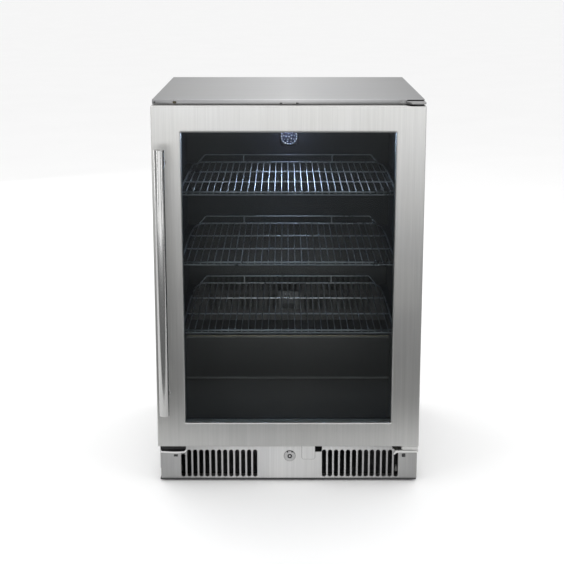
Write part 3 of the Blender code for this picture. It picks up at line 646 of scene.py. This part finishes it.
# ------------------------------------------------------------------ top cover
bm = bmesh.new()
R = 2.6
loops = []
for i in range(6):
    a = math.radians(90 * (1 - i / 5))
    loops.append((-297.5 + R * (1 - math.cos(a)), 297.5 - R * (1 - math.cos(a)), 36 + R * (1 - math.cos(a)), 571 - R * (1 - math.cos(a)), R, 884 - R * (1 - math.sin(a))))
loops += [(-297.5, 297.5, 36, 571, R, 874.3), (-297.2, 297.2, 36.3, 570.7, R, 873.7), (-296.9, 296.9, 36.6, 570.4, R, 873.6),
          (-296.3, 296.3, 37.2, 569.8, 1.6, 873.8), (-296.3, 296.3, 37.2, 569.8, 1.6, 882.0), (-295.6, 295.6, 37.9, 569.1, 1.0, 882.7)]
bm_loft(bm, loops, "z")
cover = to_object("cover_sheet", bm, "top", "cabinet", ("top_cover",), smooth=32)
hole = bmesh.new()
bm_loft(hole, [(-252.2, -243.8, 874.6, 879.4, 2.2, 30.0), (-252.2, -243.8, 874.6, 879.4, 2.2, 44.0)], "y")
subtract(cover, box_bm(243.0, 310.0, 20.0, 51.0, 865.0, 882.4), hole)

bm = bmesh.new()
for x in (-16.0, 19.0):
    bm_loft(bm, [(x - 3.0, x + 3.0, 873.9, 876.2, 0.6, 36.4), (x - 3.0, x + 3.0, 873.9, 876.2, 0.6, 35.6), (x - 2.6, x + 2.6, 874.2, 875.9, 0.5, 35.3)], "y")
bm_turned(bm, [(0, 35.5), (1.9, 35.7), (2.2, 36.3), (0, 36.3)], "y", (-291.8, 877.2), 20)
to_object("cover_clips", bm, "black", "cabinet", smooth=40)
bm = bmesh.new()
for x in (-12.0, 15.0):
    bm_loft(bm, [(x - 0.9, x + 0.9, 873.9, 875.8, 0.4, 36.4), (x - 0.9, x + 0.9, 873.9, 875.8, 0.4, 35.7)], "y")
to_object("cover_clip_tips", bm, "screw", "cabinet", smooth=40)

# ------------------------------------------------------------------ door
DZ0, DZ1 = 95.0, 872.0
WX, WZ0, WZ1 = 233.5, 152.0, 815.5
bm = bmesh.new()
R = 2.4
loops = [(-297.5, 297.5, DZ0, DZ1, 1.0, 39.7)]
for i in range(6):
    a = math.radians(90 * i / 5)
    d = R * (1 - math.cos(a))
    loops.append((-297.5 + d, 297.5 - d, DZ0 + d, DZ1 - d, 1.0, R - R * math.sin(a)))


def window(d, y, r=2.0):
    return (-WX - d, WX + d, WZ0 - d, WZ1 + d, r + d, y)


loops += [(-297.5 + R + 1.0, 297.5 - R - 1.0, DZ0 + R + 1.0, DZ1 - R - 1.0, 2.0, 0.0), window(4.4, 0.0), window(3.2, 0.0), window(1.9, 0.25), window(0.9, 0.9), window(0.2, 2.0), window(0.0, 3.2), window(0.0, 8.0), window(1.2, 8.0), window(1.2, 1.6), window(3.2, 1.2),
          (-296.0, 296.0, DZ0 + 1.5, DZ1 - 1.5, 2.0, 1.3), (-296.3, 296.3, DZ0 + 1.2, DZ1 - 1.2, 2.2, 39.7)]
bm_loft(bm, loops, "y", closed=True, steps=6)
skin = to_object("door_face", bm, "door", "door", ("door_skin",), smooth=28)
hb = bmesh.new()
bm_turned(hb, [(0, 855.0), (8.6, 855.0), (8.6, 880.0), (0, 880.0)], "z", (283.0, 20.0), 24)
subtract(skin, hb, box_bm(-38.0, 13.0, 31.0, 38.0, 90.0, 99.0))

refine("door_inner_frame", "black", 0.8, 3)
refine("glass_outer", "glass", 0.6, 2)
refine("glass_inner", "glass_coated", 0.6, 2)
refine("glass_spacer", "aluminium", 0.3, 2)

bm = bmesh.new()
gl = []
for d_out, d_in, y in ((0, 0, 40.3), (0.6, 0.6, 41.0), (2.6, 2.2, 42.6), (1.2, 1.0, 44.6), (0.2, 0.2, 46.0), (0.2, 0.2, 48.8), (1.0, 1.0, 49.6)):
    gl.append((-280 + d_out, 280 - d_out, 105 + d_out, 865 - d_out, 4.0, y))
for d_out, d_in, y in reversed(((0, 0, 40.3), (0.6, 0.6, 41.0), (2.6, 2.2, 42.6), (1.2, 1.0, 44.6), (0.2, 0.2, 46.0), (0.2, 0.2, 48.8), (1.0, 1.0, 49.6))):
    gl.append((-266 - d_in, 266 + d_in, 119 - d_in, 851 + d_in, 3.0, y))
bm_loft(bm, gl, "y", closed=True)
to_object("gasket_bellows", bm, "rubber", "door", ("door_gasket",), smooth=50)

bm = bmesh.new()
bm_turned(bm, [(0, 190.0), (9.6, 190.0), (10.6, 190.4), (11.0, 191.4), (11.0, 784.6), (10.6, 785.6), (9.6, 786.0), (0, 786.0)], "z", (-275.0, -55.0), 64)
to_object("handle_tube", bm, "handle", "door", ("handle_bar",), smooth=40)
for nm, z in (("handle_post_lower", 225.0), ("handle_post_upper", 751.0)):
    bm = bmesh.new()
    bm_turned(bm, [(0, -46.2), (6.6, -46.2), (6.8, -40.0), (6.8, -8.0), (7.2, -4.0), (8.6, -1.6), (9.4, -0.9), (9.4, -0.2), (0, -0.2)], "y", (-275.0, z), 40)
    to_object(nm + "_stud", bm, "handle", "door", (nm,), smooth=40)
refine("hinge_bush_top", "black", 0.3, 2)
refine("hinge_bush_bottom", "bush", 0.8, 3)
refine("hinge_plate_top", "bracket_shaded", 0.5, 3)
refine("hinge_plate_bottom", "bracket", 0.7, 3)
refine("hinge_screw_top", "bracket_shaded", 0.2, 2)

# ------------------------------------------------------------------ cabinet shell
refine("side_panel_left", "side", 0.5, 3)
refine("side_panel_right", "side", 0.5, 3)
refine("face_frame", "frame", 0.4, 2)
refine("cabinet_underside", "zinc", 0.5, 2)
refine("base_pan", "paint", 0.4, 2)
refine("back_panel", "zinc", 0.4, 2)
refine("rear_grille", "paint", 0.35, 2)
refine("power_inlet", "black", 0.5, 2)
paint("insulation_foam", "foam")

bm = bmesh.new()
for z0, z1 in ((250, 520), (560, 830)):
    for x in (-170, 0, 170):
        bm_loft(bm, [(x - 42, x + 42, z0, z1, 14, 570.6), (x - 41, x + 41, z0 + 1, z1 - 1, 13.5, 571.2), (x - 37, x + 37, z0 + 5, z1 - 5, 12, 572.4), (x - 35, x + 35, z0 + 7, z1 - 7, 11, 572.6)], "y", steps=6)
to_object("back_panel_beads", bm, "zinc", "cabinet", smooth=50)

# seal strips over the 2 mm slit between the side panels and the base pan
bm = bmesh.new()
for side in (-1, 1):
    bm_box(bm, *sorted((side * 293.2, side * 294.4)), 50.8, 566.5, 16.0, 27.0)
to_object("base_seals", bm, "paint", "cabinet", smooth=50)
i = 0
for x in (-272, 272):
    for z in (225, 430, 640, 850):
        pan_head(f"back_screw_{i}", x, 570.65, z, "y", 3.8, "cabinet", "screw", 1)
        i += 1

# ------------------------------------------------------------------ liner
F = 9.0


def fillet(points, radii, steps=5):
    out = []
    n = len(points)
    for i, p in enumerate(points):
        r = radii[i]
        p = Vector((*p, 0))
        a = (Vector((*points[i - 1], 0)) - p).normalized()
        b = (Vector((*points[(i + 1) % n], 0)) - p).normalized()
        if r <= 0:
            out.append((p.x, p.y))
            continue
        half = a.angle(b) / 2
        d = r / math.tan(half)
        c = p + (a + b).normalized() * (r / math.sin(half))
        s, e = p + a * d, p + b * d
        v0, v1 = s - c, e - c
        tot = v0.angle(v1)
        for k in range(steps + 1):
            t = k / steps
            v = (v0 * math.sin((1 - t) * tot) + v1 * math.sin(t * tot)) / math.sin(tot)
            out.append((c.x + v.x, c.y + v.y))
    return out


bm = bmesh.new()
inner_profile = fillet([(51.5, 128), (380, 128), (380, 245), (543, 245), (543, 845), (51.5, 845)], [0, F, F, F, F, 0])
outer_profile = fillet([(51.5, 126), (382, 126), (382, 243), (545, 243), (545, 847), (51.5, 847)], [0, F, F, F, F, 0])
edge = 6.0
rings = []
for x, inset in ((-260.5, edge), (-260.5 + edge * 0.3, edge * 0.3), (-260.5 + edge, 0), (260.5 - edge, 0), (260.5 - edge * 0.3, edge * 0.3), (260.5, edge)):
    ring = []
    n = len(inner_profile)
    for k, (y, z) in enumerate(inner_profile):
        p0, p1 = inner_profile[k - 1], inner_profile[(k + 1) % n]
        if k in (0, n - 1):
            ty, tz = 1.0, 0.0
            ny, nz = (0.0, 1.0) if k == 0 else (0.0, -1.0)
        else:
            ty, tz = p1[0] - p0[0], p1[1] - p0[1]
            L = math.hypot(ty, tz)
            ty, tz = ty / L, tz / L
            ny, nz = -tz, ty
        ring.append(bm.verts.new((x, y + ny * inset, z + nz * inset)))
    rings.append(ring)
for a, b in zip(rings, rings[1:]):
    for k in range(len(a) - 1):
        bm.faces.new((a[k], b[k], b[k + 1], a[k + 1]))
for ring in (rings[0], rings[-1]):
    bm.faces.new(ring)
bmesh.ops.recalc_face_normals(bm, faces=bm.faces)
probe = max(bm.faces, key=lambda f: f.calc_center_median().y)
if probe.normal.y > 0:
    bmesh.ops.reverse_faces(bm, faces=bm.faces)
mouth = [e for e in bm.edges if e.is_boundary]
ext = bmesh.ops.extrude_edge_only(bm, edges=mouth)
vs = [g for g in ext["geom"] if isinstance(g, bmesh.types.BMVert)]
for v in vs:
    v.co.x += 15 if v.co.x > 0 else -15
    v.co.z += 15 if v.co.z > 400 else -15
for v in vs:
    v.co.x = 275.5 if v.co.x > 200 else (-275.5 if v.co.x < -200 else v.co.x)
liner = to_object("liner_moulding", bm, "liner", "cabinet", ("liner",), smooth=40, recalc=False)
sol = liner.modifiers.new("wall", "SOLIDIFY")
sol.thickness = 0.0016
sol.offset = -1.0

for p_i, plane in enumerate((674.0, 512.5, 352.0)):
    for side in (-1, 1):
        bm = bmesh.new()
        a, b = sorted((side * 239.5, side * 260.4))
        top = plane - 4.4
        bm_prism(bm, fillet([(62, top), (62, top - 4), (78, top - 9), (500, top - 9), (500, top)], [1, 2, 4, 1, 1], 3), "x", a, b)
        to_object(f"shelf_ledge_{p_i}_{'l' if side < 0 else 'r'}", bm, "liner", "cabinet", smooth=40, bevel=0.8, segments=3)

refine("duct_cover", "duct", 0.5, 2)
bm = bmesh.new()
bm_loft(bm, [(-27, 31, 278, 329, 5, 515.8), (-27, 31, 278, 329, 5, 509.5), (-25.6, 29.6, 279.4, 327.6, 4, 507.2), (-23.5, 27.5, 281.5, 325.5, 3, 506.1)], "y")
fan_boss = to_object("fan_boss", bm, "boss", "cabinet", ("evaporator_fan_motor",), smooth=40)
for k, x in enumerate((-6.5, 3.5)):
    pan_head(f"fan_boss_screw_{k}", x, 506.0, 320.0, "y", 2.3, "cabinet", "cap")
for k, x in enumerate((-245.0, 245.0)):
    nm = ("duct_screw_left", "duct_screw_right")[k]
    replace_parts(pan_head(nm + "_head", x, 515.6, 600.0, "y", 4.4, "cabinet", "cap"), nm)
bm = bmesh.new()
bm_loft(bm, [(-16, 20, 282, 294, 1.5, 506.6), (-16, 20, 282, 294, 1.5, 505.4), (-15, 19, 283, 293, 1.0, 505.0)], "y")
to_object("fan_boss_plug", bm, "black", "cabinet", smooth=40)
bm = bmesh.new()
bm_loft(bm, [(-20, 26, 716, 760, 5, 515.8), (-20, 26, 716, 760, 5, 510), (-18.5, 24.5, 717.5, 758.5, 4, 507.5)], "y")
to_object("lamp_base", bm, "duct", "cabinet", ("lamp_housing",), smooth=40)
bm = bmesh.new()
prof = [(0, 501.5)] + [(19.0 * math.sin(math.radians(t)), 507.2 - 5.7 * math.cos(math.radians(t))) for t in range(10, 91, 8)] + [(19.0, 507.3), (0, 507.3)]
bm_turned(bm, prof, "y", (3.0, 738.0), 64)
to_object("lamp_cap", bm, "lens", "cabinet", ("lamp_lens",), smooth=60)

bm = bmesh.new()
spots = [(19.4, a) for a in range(0, 360, 20)] + [(13.5, a + 11) for a in range(0, 360, 40)] + [(7.5, a) for a in range(30, 390, 72)] + [(0.0, 0)]
for k, (r, a) in enumerate(spots):
    dx, dz = r * math.cos(math.radians(a)), r * math.sin(math.radians(a))
    y = 502.0 if r < 8 else (503.6 if r < 15 else 506.2)
    q = 1.0 + 0.45 * ((k * 7) % 5) / 4
    bm_turned(bm, [(0, y - q), (q * 0.7, y - q * 0.7), (q, y), (q * 0.7, y + q * 0.6), (0, y + q * 0.8)], "y", (3.0 + dx, 738.0 + dz), 10)
to_object("lamp_facets", bm, "spark", "cabinet", smooth=60)

# ------------------------------------------------------------------ shelves
for nm, p in (("shelf_upper", 674.0), ("shelf_middle", 512.5), ("shelf_lower", 352.0)):
    bm = bmesh.new()
    RF, RW = 2.0, 1.1
    zf = p - 3.9 + 0.2 * 0
    # outer frame, kinked inward near the rear corners
    ring = [(-240.5, 75.0), (-244.2, 79.0), (-244.2, 452.0), (-229.0, 500.0), (-224.0, 507.5), (-216.0, 509.6), (216.0, 509.6), (224.0, 507.5),
            (229.0, 500.0), (244.2, 452.0), (244.2, 79.0), (240.5, 75.0)]
    pts = []
    for k in range(len(ring)):
        a, b = ring[k - 1], ring[k]
        pts += [(a[0] * 0.75 + b[0] * 0.25, a[1] * 0.75 + b[1] * 0.25, zf + 1.0), (a[0] * 0.25 + b[0] * 0.75, a[1] * 0.25 + b[1] * 0.75, zf + 1.0)]
    bm_tube(bm, pts, RF, 12, closed=True)
    bm_tube(bm, [(-243.0, 76.5, zf - 5.4), (-120, 76.5, zf - 5.4), (0, 76.5, zf - 5.4), (120, 76.5, zf - 5.4), (243.0, 76.5, zf - 5.4)], 1.5, 10)
    for y in (218.5, 363.0):
        bm_tube(bm, [(-243.5, y, zf - 1.4 + 1.0), (-80, y, zf - 0.4), (80, y, zf - 0.4), (243.5, y, zf - 0.4)], 1.8, 10)
    for i in range(31):
        x = (i - 15) * 15.3
        end = 508.6 if abs(x) < 217 else 506.0 - (abs(x) - 217) * 1.6
        bm_tube(bm, [(x, 74.0, zf - 4.0), (x, 73.4, zf - 0.6), (x, 75.4, zf + 2.2), (x, 79.0, p - 1.55), (x, 200, p - 1.55), (x, 350, p - 1.55), (x, end, p - 1.55)], RW, 8)
    stop = smooth_path([(-229.5, 500.0, p - 1.0), (-222.0, 505.5, p + 6.0), (-213.5, 508.0, p + 15.6), (-205.0, 508.2, p + 16.4)], 4)
    stop += [Vector((-100, 508.2, p + 16.4)), Vector((0, 508.2, p + 16.4)), Vector((100, 508.2, p + 16.4))]
    stop += smooth_path([(205.0, 508.2, p + 16.4), (213.5, 508.0, p + 15.6), (222.0, 505.5, p + 6.0), (229.5, 500.0, p - 1.0)], 4)
    bm_tube(bm, stop, 1.6, 8)
    for x in (-114.0, 114.0):
        bm_tube(bm, [(x, 508.6, p - 2.0), (x, 508.3, p + 8), (x, 508.2, p + 16.0)], 1.6, 8)
    to_object(nm + "_wires", bm, "chrome", nm + "_body", (nm,), smooth=60)

# ------------------------------------------------------------------ kick plate, lock
def slot_ring(cx, z0, z1, w, steps=10):
    r = w / 2
    t = [(cx + r * math.cos(math.pi * i / steps), z1 - r + r * math.sin(math.pi * i / steps)) for i in range(steps + 1)]
    b = [(cx - r * math.cos(math.pi * i / steps), z0 + r - r * math.sin(math.pi * i / steps)) for i in range(steps + 1)]
    return t + b


bm = bmesh.new()
KR = 2.2
loops = [(-294, 297, 7.6, 90, 1.2, 49.6), (-294, 297, 7.6, 90, 1.2, 25 + KR)]
for i in range(1, 6):
    a = math.radians(90 * i / 5)
    d = KR * (1 - math.cos(a))
    loops.append((-294 + d, 297 - d, 7.6 + d, 90 - d, 1.2 + 0.4, 25 + KR - KR * math.sin(a)))
inner_loops = [(-292.8, 295.8, 8.8, 88.8, 0.8, 49.6), (-292.8, 295.8, 8.8, 88.8, 0.8, 27.6), (-291.6, 294.6, 10.0, 87.6, 0.8, 26.3)]
bm_loft(bm, list(reversed(loops)) + inner_loops, "y")
kick = to_object("kick_face", bm, "kick", "cabinet", ("kick_plate",), smooth=30)
cuts = [box_bm(-310.0, -235.6, 15.0, 60.0, 71.0, 95.0), box_bm(240.0, 310.0, 15.0, 60.0, 79.6, 95.0), box_bm(61.6, 77.8, 15.0, 40.0, 72.5, 88.9),
        box_bm(-44.0, 13.0, 30.6, 38.4, 84.0, 95.0)]
for x0 in (-242.2, 82.6):
    for i in range(13):
        c = bmesh.new()
        bm_prism(c, slot_ring(x0 + i * 13.82, 11.6, 77.6, 9.7), "y", 15.0, 30.0)
        cuts.append(c)
for x, z, r in ((3.4, 62.7, 10.4), (-260.0, 63.5, 2.6), (266.0, 64.0, 2.8)):
    c = bmesh.new()
    bm_turned(c, [(0, 15.0), (r, 15.0), (r, 30.0), (0, 30.0)], "y", (x, z), 32)
    cuts.append(c)
subtract(kick, *cuts)
b = kick.modifiers.new("edge", "BEVEL")
b.width, b.segments, b.limit_method, b.angle_limit, b.harden_normals = 0.00045, 3, "ANGLE", math.radians(50), True

# raised rims pressed round the slots
bm = bmesh.new()
for x0 in (-242.2, 82.6):
    for i in range(13):
        x = x0 + i * 13.82
        top = 76.5
        if x < -237 or x > 243:
            top = 67.0 if x < 0 else 75.0
        path = [(u, 25.0, v) for u, v in slot_ring(x, 11.6 - 0.9, top + 1.8, 9.7 + 1.8, 10)]
        bm_tube(bm, path, 0.62, 8, closed=True)
to_object("kick_slot_rims", bm, "kick", "cabinet", smooth=60)
bm = bmesh.new()
lip = fillet([(-293.8, 74.6), (-293.8, 71.6), (-262.0, 69.6), (-238.0, 71.0), (-233.0, 78.0), (-235.4, 78.6), (-239.6, 74.2), (-262.0, 73.4)], [0.5, 0.8, 8.0, 4.0, 0.6, 0.6, 3.0, 8.0], 4)
bm_prism(bm, lip, "y", 22.6, 27.0)
to_object("kick_notch_lip", bm, "tab", "cabinet", smooth=50, bevel=0.5, segments=3)
bm = bmesh.new()
bm_prism(bm, fillet([(28.0, 66.0), (48.5, 66.0), (48.5, 89.6), (46.0, 89.6), (46.0, 70.0), (28.0, 70.0)], [0.5, 1.5, 0.5, 0.5, 1.0, 0.5], 3), "x", -292.4, -234.0)
to_object("kick_notch_liner", bm, "black", "cabinet", smooth=40, bevel=0.3, segments=2)
for k, (x0, x1) in enumerate(((-263.6, -260.4), (-259.2, -254.6))):
    bm = bmesh.new()
    bm_loft(bm, [(x0, x1, 61.2, 66.0, 0.6, 25.4), (x0, x1, 61.2, 66.0, 0.6, 24.0), (x0 + 0.5, x1 - 0.5, 61.7, 65.5, 0.4, 23.6)], "y")
    to_object(f"kick_clip_{k}", bm, "black", "cabinet", smooth=40)

bm = bmesh.new()
tab = []
for u, v in fillet([(31.5, 88.6), (31.5, 55.0), (61.3, 55.0), (61.3, 88.6)], [0.5, 5.0, 5.0, 0.5], 6):
    tab.append((u, v))
bm_prism(bm, tab, "y", 24.1, 24.75)
# painted shadow: a dark grey rim just behind the tab's edge stands for the shadow gap round it
edge_bm = bmesh.new()
bm_prism(edge_bm, fillet([(30.8, 88.7), (30.8, 54.3), (62.0, 54.3), (62.0, 88.7)], [0.5, 5.6, 5.6, 0.5], 6), "y", 24.72, 24.96)
to_object("kick_tab_shadow_gap", edge_bm, "grey", "cabinet", smooth=40)
to_object("kick_tab", bm, "kick", "cabinet", ("tab_plate",), smooth=40, bevel=0.2, segments=2)
bm = bmesh.new()
bm_loft(bm, [(262.0, 270.0, 60.2, 67.8, 1.2, 27.0), (262.0, 270.0, 60.2, 67.8, 1.2, 23.4), (262.7, 269.3, 60.9, 67.1, 0.9, 22.8), (264.4, 267.6, 62.6, 65.4, 0.5, 22.7), (264.4, 267.6, 62.6, 65.4, 0.5, 23.6)], "y")
to_object("kick_screw_head", bm, "black", "cabinet", ("kick_plate_screw",), smooth=40)
bm = bmesh.new()
bm_prism(bm, fillet([(297.0, 84.9), (250.0, 84.9), (243.4, 82.6), (240.2, 76.0), (243.2, 75.0), (246.8, 78.6), (253.0, 80.1), (297.0, 80.1)], [0.5, 5.0, 4.0, 0.8, 0.8, 4.0, 4.0, 0.5], 4), "y", 1.6, 4.4)
to_object("hinge_plate_bottom_lip", bm, "bracket", "cabinet", smooth=50, bevel=0.6, segments=3)

bm = bmesh.new()
bm_turned(bm, [(5.9, 23.2), (11.2, 23.2), (11.6, 22.7), (12.3, 22.7), (12.75, 23.1), (12.85, 23.8), (12.85, 24.8), (9.8, 24.8), (9.8, 32.7), (5.9, 32.7)], "y", (3.4, 62.7), 64, closed=True)
barrel = to_object("lock_bezel", bm, "frame", "cabinet", ("lock_barrel",), smooth=35)
# painted shade: two black blobs on the bezel rim stand for the shade in its notches
bm = bmesh.new()
for x in (-1.9, 8.7):
    bm_loft(bm, [(x - 1.7, x + 1.7, 71.6, 74.6, 0.6, 23.4), (x - 1.7, x + 1.7, 71.6, 74.6, 0.6, 22.5), (x - 1.4, x + 1.4, 71.9, 74.3, 0.5, 22.3)], "y")
to_object("lock_bezel_notch_shade", bm, "black", "cabinet", smooth=40)
bm = bmesh.new()
bm_turned(bm, [(12.9, 24.8), (13.5, 24.8), (13.4, 24.97), (12.9, 24.97)], "y", (3.4, 62.7), 64, closed=True)
to_object("lock_seal", bm, "black", "cabinet", smooth=35)
bm = bmesh.new()
bm_turned(bm, [(0, 22.5), (1.7, 22.45), (2.1, 22.8), (2.2, 23.6), (5.3, 23.6), (5.4, 23.0), (5.6, 23.1), (5.6, 33.0), (0, 33.0)], "y", (3.4, 62.7), 48)
to_object("lock_plug", bm, "screw", "lock", ("lock_core",), smooth=35)
bm = bmesh.new()
bm_turned(bm, [(2.3, 23.1), (5.25, 23.1), (5.25, 23.55), (2.3, 23.55)], "y", (3.4, 62.7), 48, closed=True)
to_object("lock_plug_ring", bm, "black", "lock", smooth=35)
refine("lock_cam", "bracket", 0.4, 2)

# ------------------------------------------------------------------ machine compartment
bm = bmesh.new()
prof = [(0, 17.0), (44, 17.0), (52, 19.5), (58.5, 27.0), (61.0, 40.0), (61.5, 86.0), (63.4, 87.5), (63.4, 92.0), (61.5, 93.5), (61.0, 114.0), (57.5, 132.0), (48.0, 146.0), (30.0, 155.0), (12.0, 157.6), (0, 158.0)]
bm_turned(bm, prof, "z", (135.0, 497.0), 64, squash=(1.25, 1.0))
to_object("compressor_shell", bm, "paint", "cabinet", ("compressor",), smooth=35)
refine("compressor_mount", "rubber", 0.6, 2)
bm = bmesh.new()
for i in range(42):
    z = 24.0 + i * 4.0
    bm_box(bm, -275, -211, 431.5, 555.5, z, z + 0.5)
for k, y in enumerate((445, 470, 495, 520, 545)):
    for x in (-262, -243, -224):
        bm_tube(bm, [(x, y, 22.3), (x, y, 189.6)], 3.0, 10)
to_object("condenser_fins", bm, "paint", "cabinet", ("condenser_coil",), smooth=40)
refine("condenser_fan_shroud", "paint", 0.5, 2)
refine("condenser_fan_motor", "paint", 0.6, 2)


def fan_blades(bm, axis, at, hub, tip, h0, h1, blades):
    bm_turned(bm, [(3.0, h0), (hub - 1, h0), (hub, h0 + 1), (hub, h1), (3.0, h1)], axis, at, 40, closed=True)
    mid, half = (h0 + h1) / 2, (h1 - h0) / 2 * 0.62
    place = {"y": lambda r, a, h: (at[0] + r * math.cos(a), h, at[1] + r * math.sin(a)), "x": lambda r, a, h: (h, at[0] + r * math.cos(a), at[1] + r * math.sin(a))}[axis]
    for b in range(blades):
        a0 = 2 * math.pi * b / blades
        grid = []
        for i in range(7):
            r = hub - 1.5 + (tip - hub + 1.5) * i / 6
            row = []
            for j in range(9):
                s = j / 4 - 1
                row.append((r, a0 + s * (0.36 + 0.05 * math.sin(i / 6 * math.pi)) + 0.10 * i / 6, mid + s * half + 1.2 * (1 - s * s)))
            grid.append(row)
        lo = [[bm.verts.new(place(r, a, h - 0.6)) for r, a, h in row] for row in grid]
        hi = [[bm.verts.new(place(r, a, h + 0.6)) for r, a, h in row] for row in grid]
        for i in range(6):
            for j in range(8):
                bm.faces.new((lo[i][j], lo[i][j + 1], lo[i + 1][j + 1], lo[i + 1][j]))
                bm.faces.new((hi[i][j], hi[i + 1][j], hi[i + 1][j + 1], hi[i][j + 1]))
        for i in range(6):
            bm.faces.new((lo[i][0], lo[i + 1][0], hi[i + 1][0], hi[i][0]))
            bm.faces.new((lo[i][8], hi[i][8], hi[i + 1][8], lo[i + 1][8]))
        for j in range(8):
            bm.faces.new((lo[0][j], hi[0][j], hi[0][j + 1], lo[0][j + 1]))
            bm.faces.new((lo[6][j], lo[6][j + 1], hi[6][j + 1], hi[6][j]))


bm = bmesh.new()
fan_blades(bm, "x", (493.0, 105.0), 15.0, 50.0, -194.5, -178.5, 5)
to_object("condenser_fan_blades", bm, "black", "condenser_fan_rotor", ("condenser_fan",), smooth=40)
bm = bmesh.new()
fan_blades(bm, "y", (2.0, 303.0), 13.0, 44.0, 521.5, 534.0, 5)
to_object("evaporator_fan_blades", bm, "black", "evaporator_fan_rotor", ("evaporator_fan",), smooth=40)
refine("evaporator_coil", "aluminium_in_shade", 0.2, 1)
refine("drain_pan", "black", 0.6, 2)
refine("control_box", "grey", 0.8, 2)
refine("filter_drier", "copper", 0.3, 2)
for nm, pts, r in (
    ("discharge_tube", [(120.0, 482.0, 146.0), (60.0, 450.0, 152.0), (-20.0, 446.0, 176.0), (-120.0, 444.0, 196.0), (-200.0, 444.0, 199.0), (-236.0, 446.0, 198.5), (-240.0, 447.0, 190.6)], 3.0),
    ("suction_tube", [(170.0, 480.0, 118.0), (205.0, 445.0, 130.0), (212.0, 432.0, 160.0), (212.0, 428.0, 185.0), (212.0, 428.0, 205.1)], 4.0),
    ("liquid_tube", [(-243.0, 427.2, 40.0), (-236.0, 425.0, 40.0), (-200.0, 424.0, 42.0), (-120.0, 424.0, 52.0), (-75.0, 428.0, 62.0), (-60.0, 436.0, 78.0), (-60.0, 437.0, 91.6)], 2.4),
    ("capillary_tube", [(-60.0, 437.0, 158.4), (-60.0, 436.0, 180.0), (-58.0, 433.0, 205.1)], 1.5),
):
    bm = bmesh.new()
    bm_tube(bm, smooth_path(pts, 10), r, 14)
    to_object(nm + "_pipe", bm, "copper", "cabinet", (nm,), smooth=60)

# ------------------------------------------------------------------ levelling feet
for k, (x, y) in {"front_left": (-255, 80), "front_right": (255, 80), "rear_left": (-255, 535), "rear_right": (255, 535)}.items():
    bm = bmesh.new()
    prof = [(0, 0.0), (15.4, 0.0), (16.6, 0.3), (17.0, 1.0), (17.0, 2.0), (16.4, 2.7), (13.0, 3.2), (5.0, 3.3)]
    h = 3.4
    while h < 16.5:
        prof += [(5.1, h), (4.4, h + 0.6)]
        h += 1.25
    prof += [(4.6, 17.4), (0, 18.0)]
    bm_turned(bm, prof, "z", (x, y), 40)
    to_object(f"foot_{k}_screw", bm, "bracket", f"foot_{k}_body", (f"foot_{k}",), smooth=30)
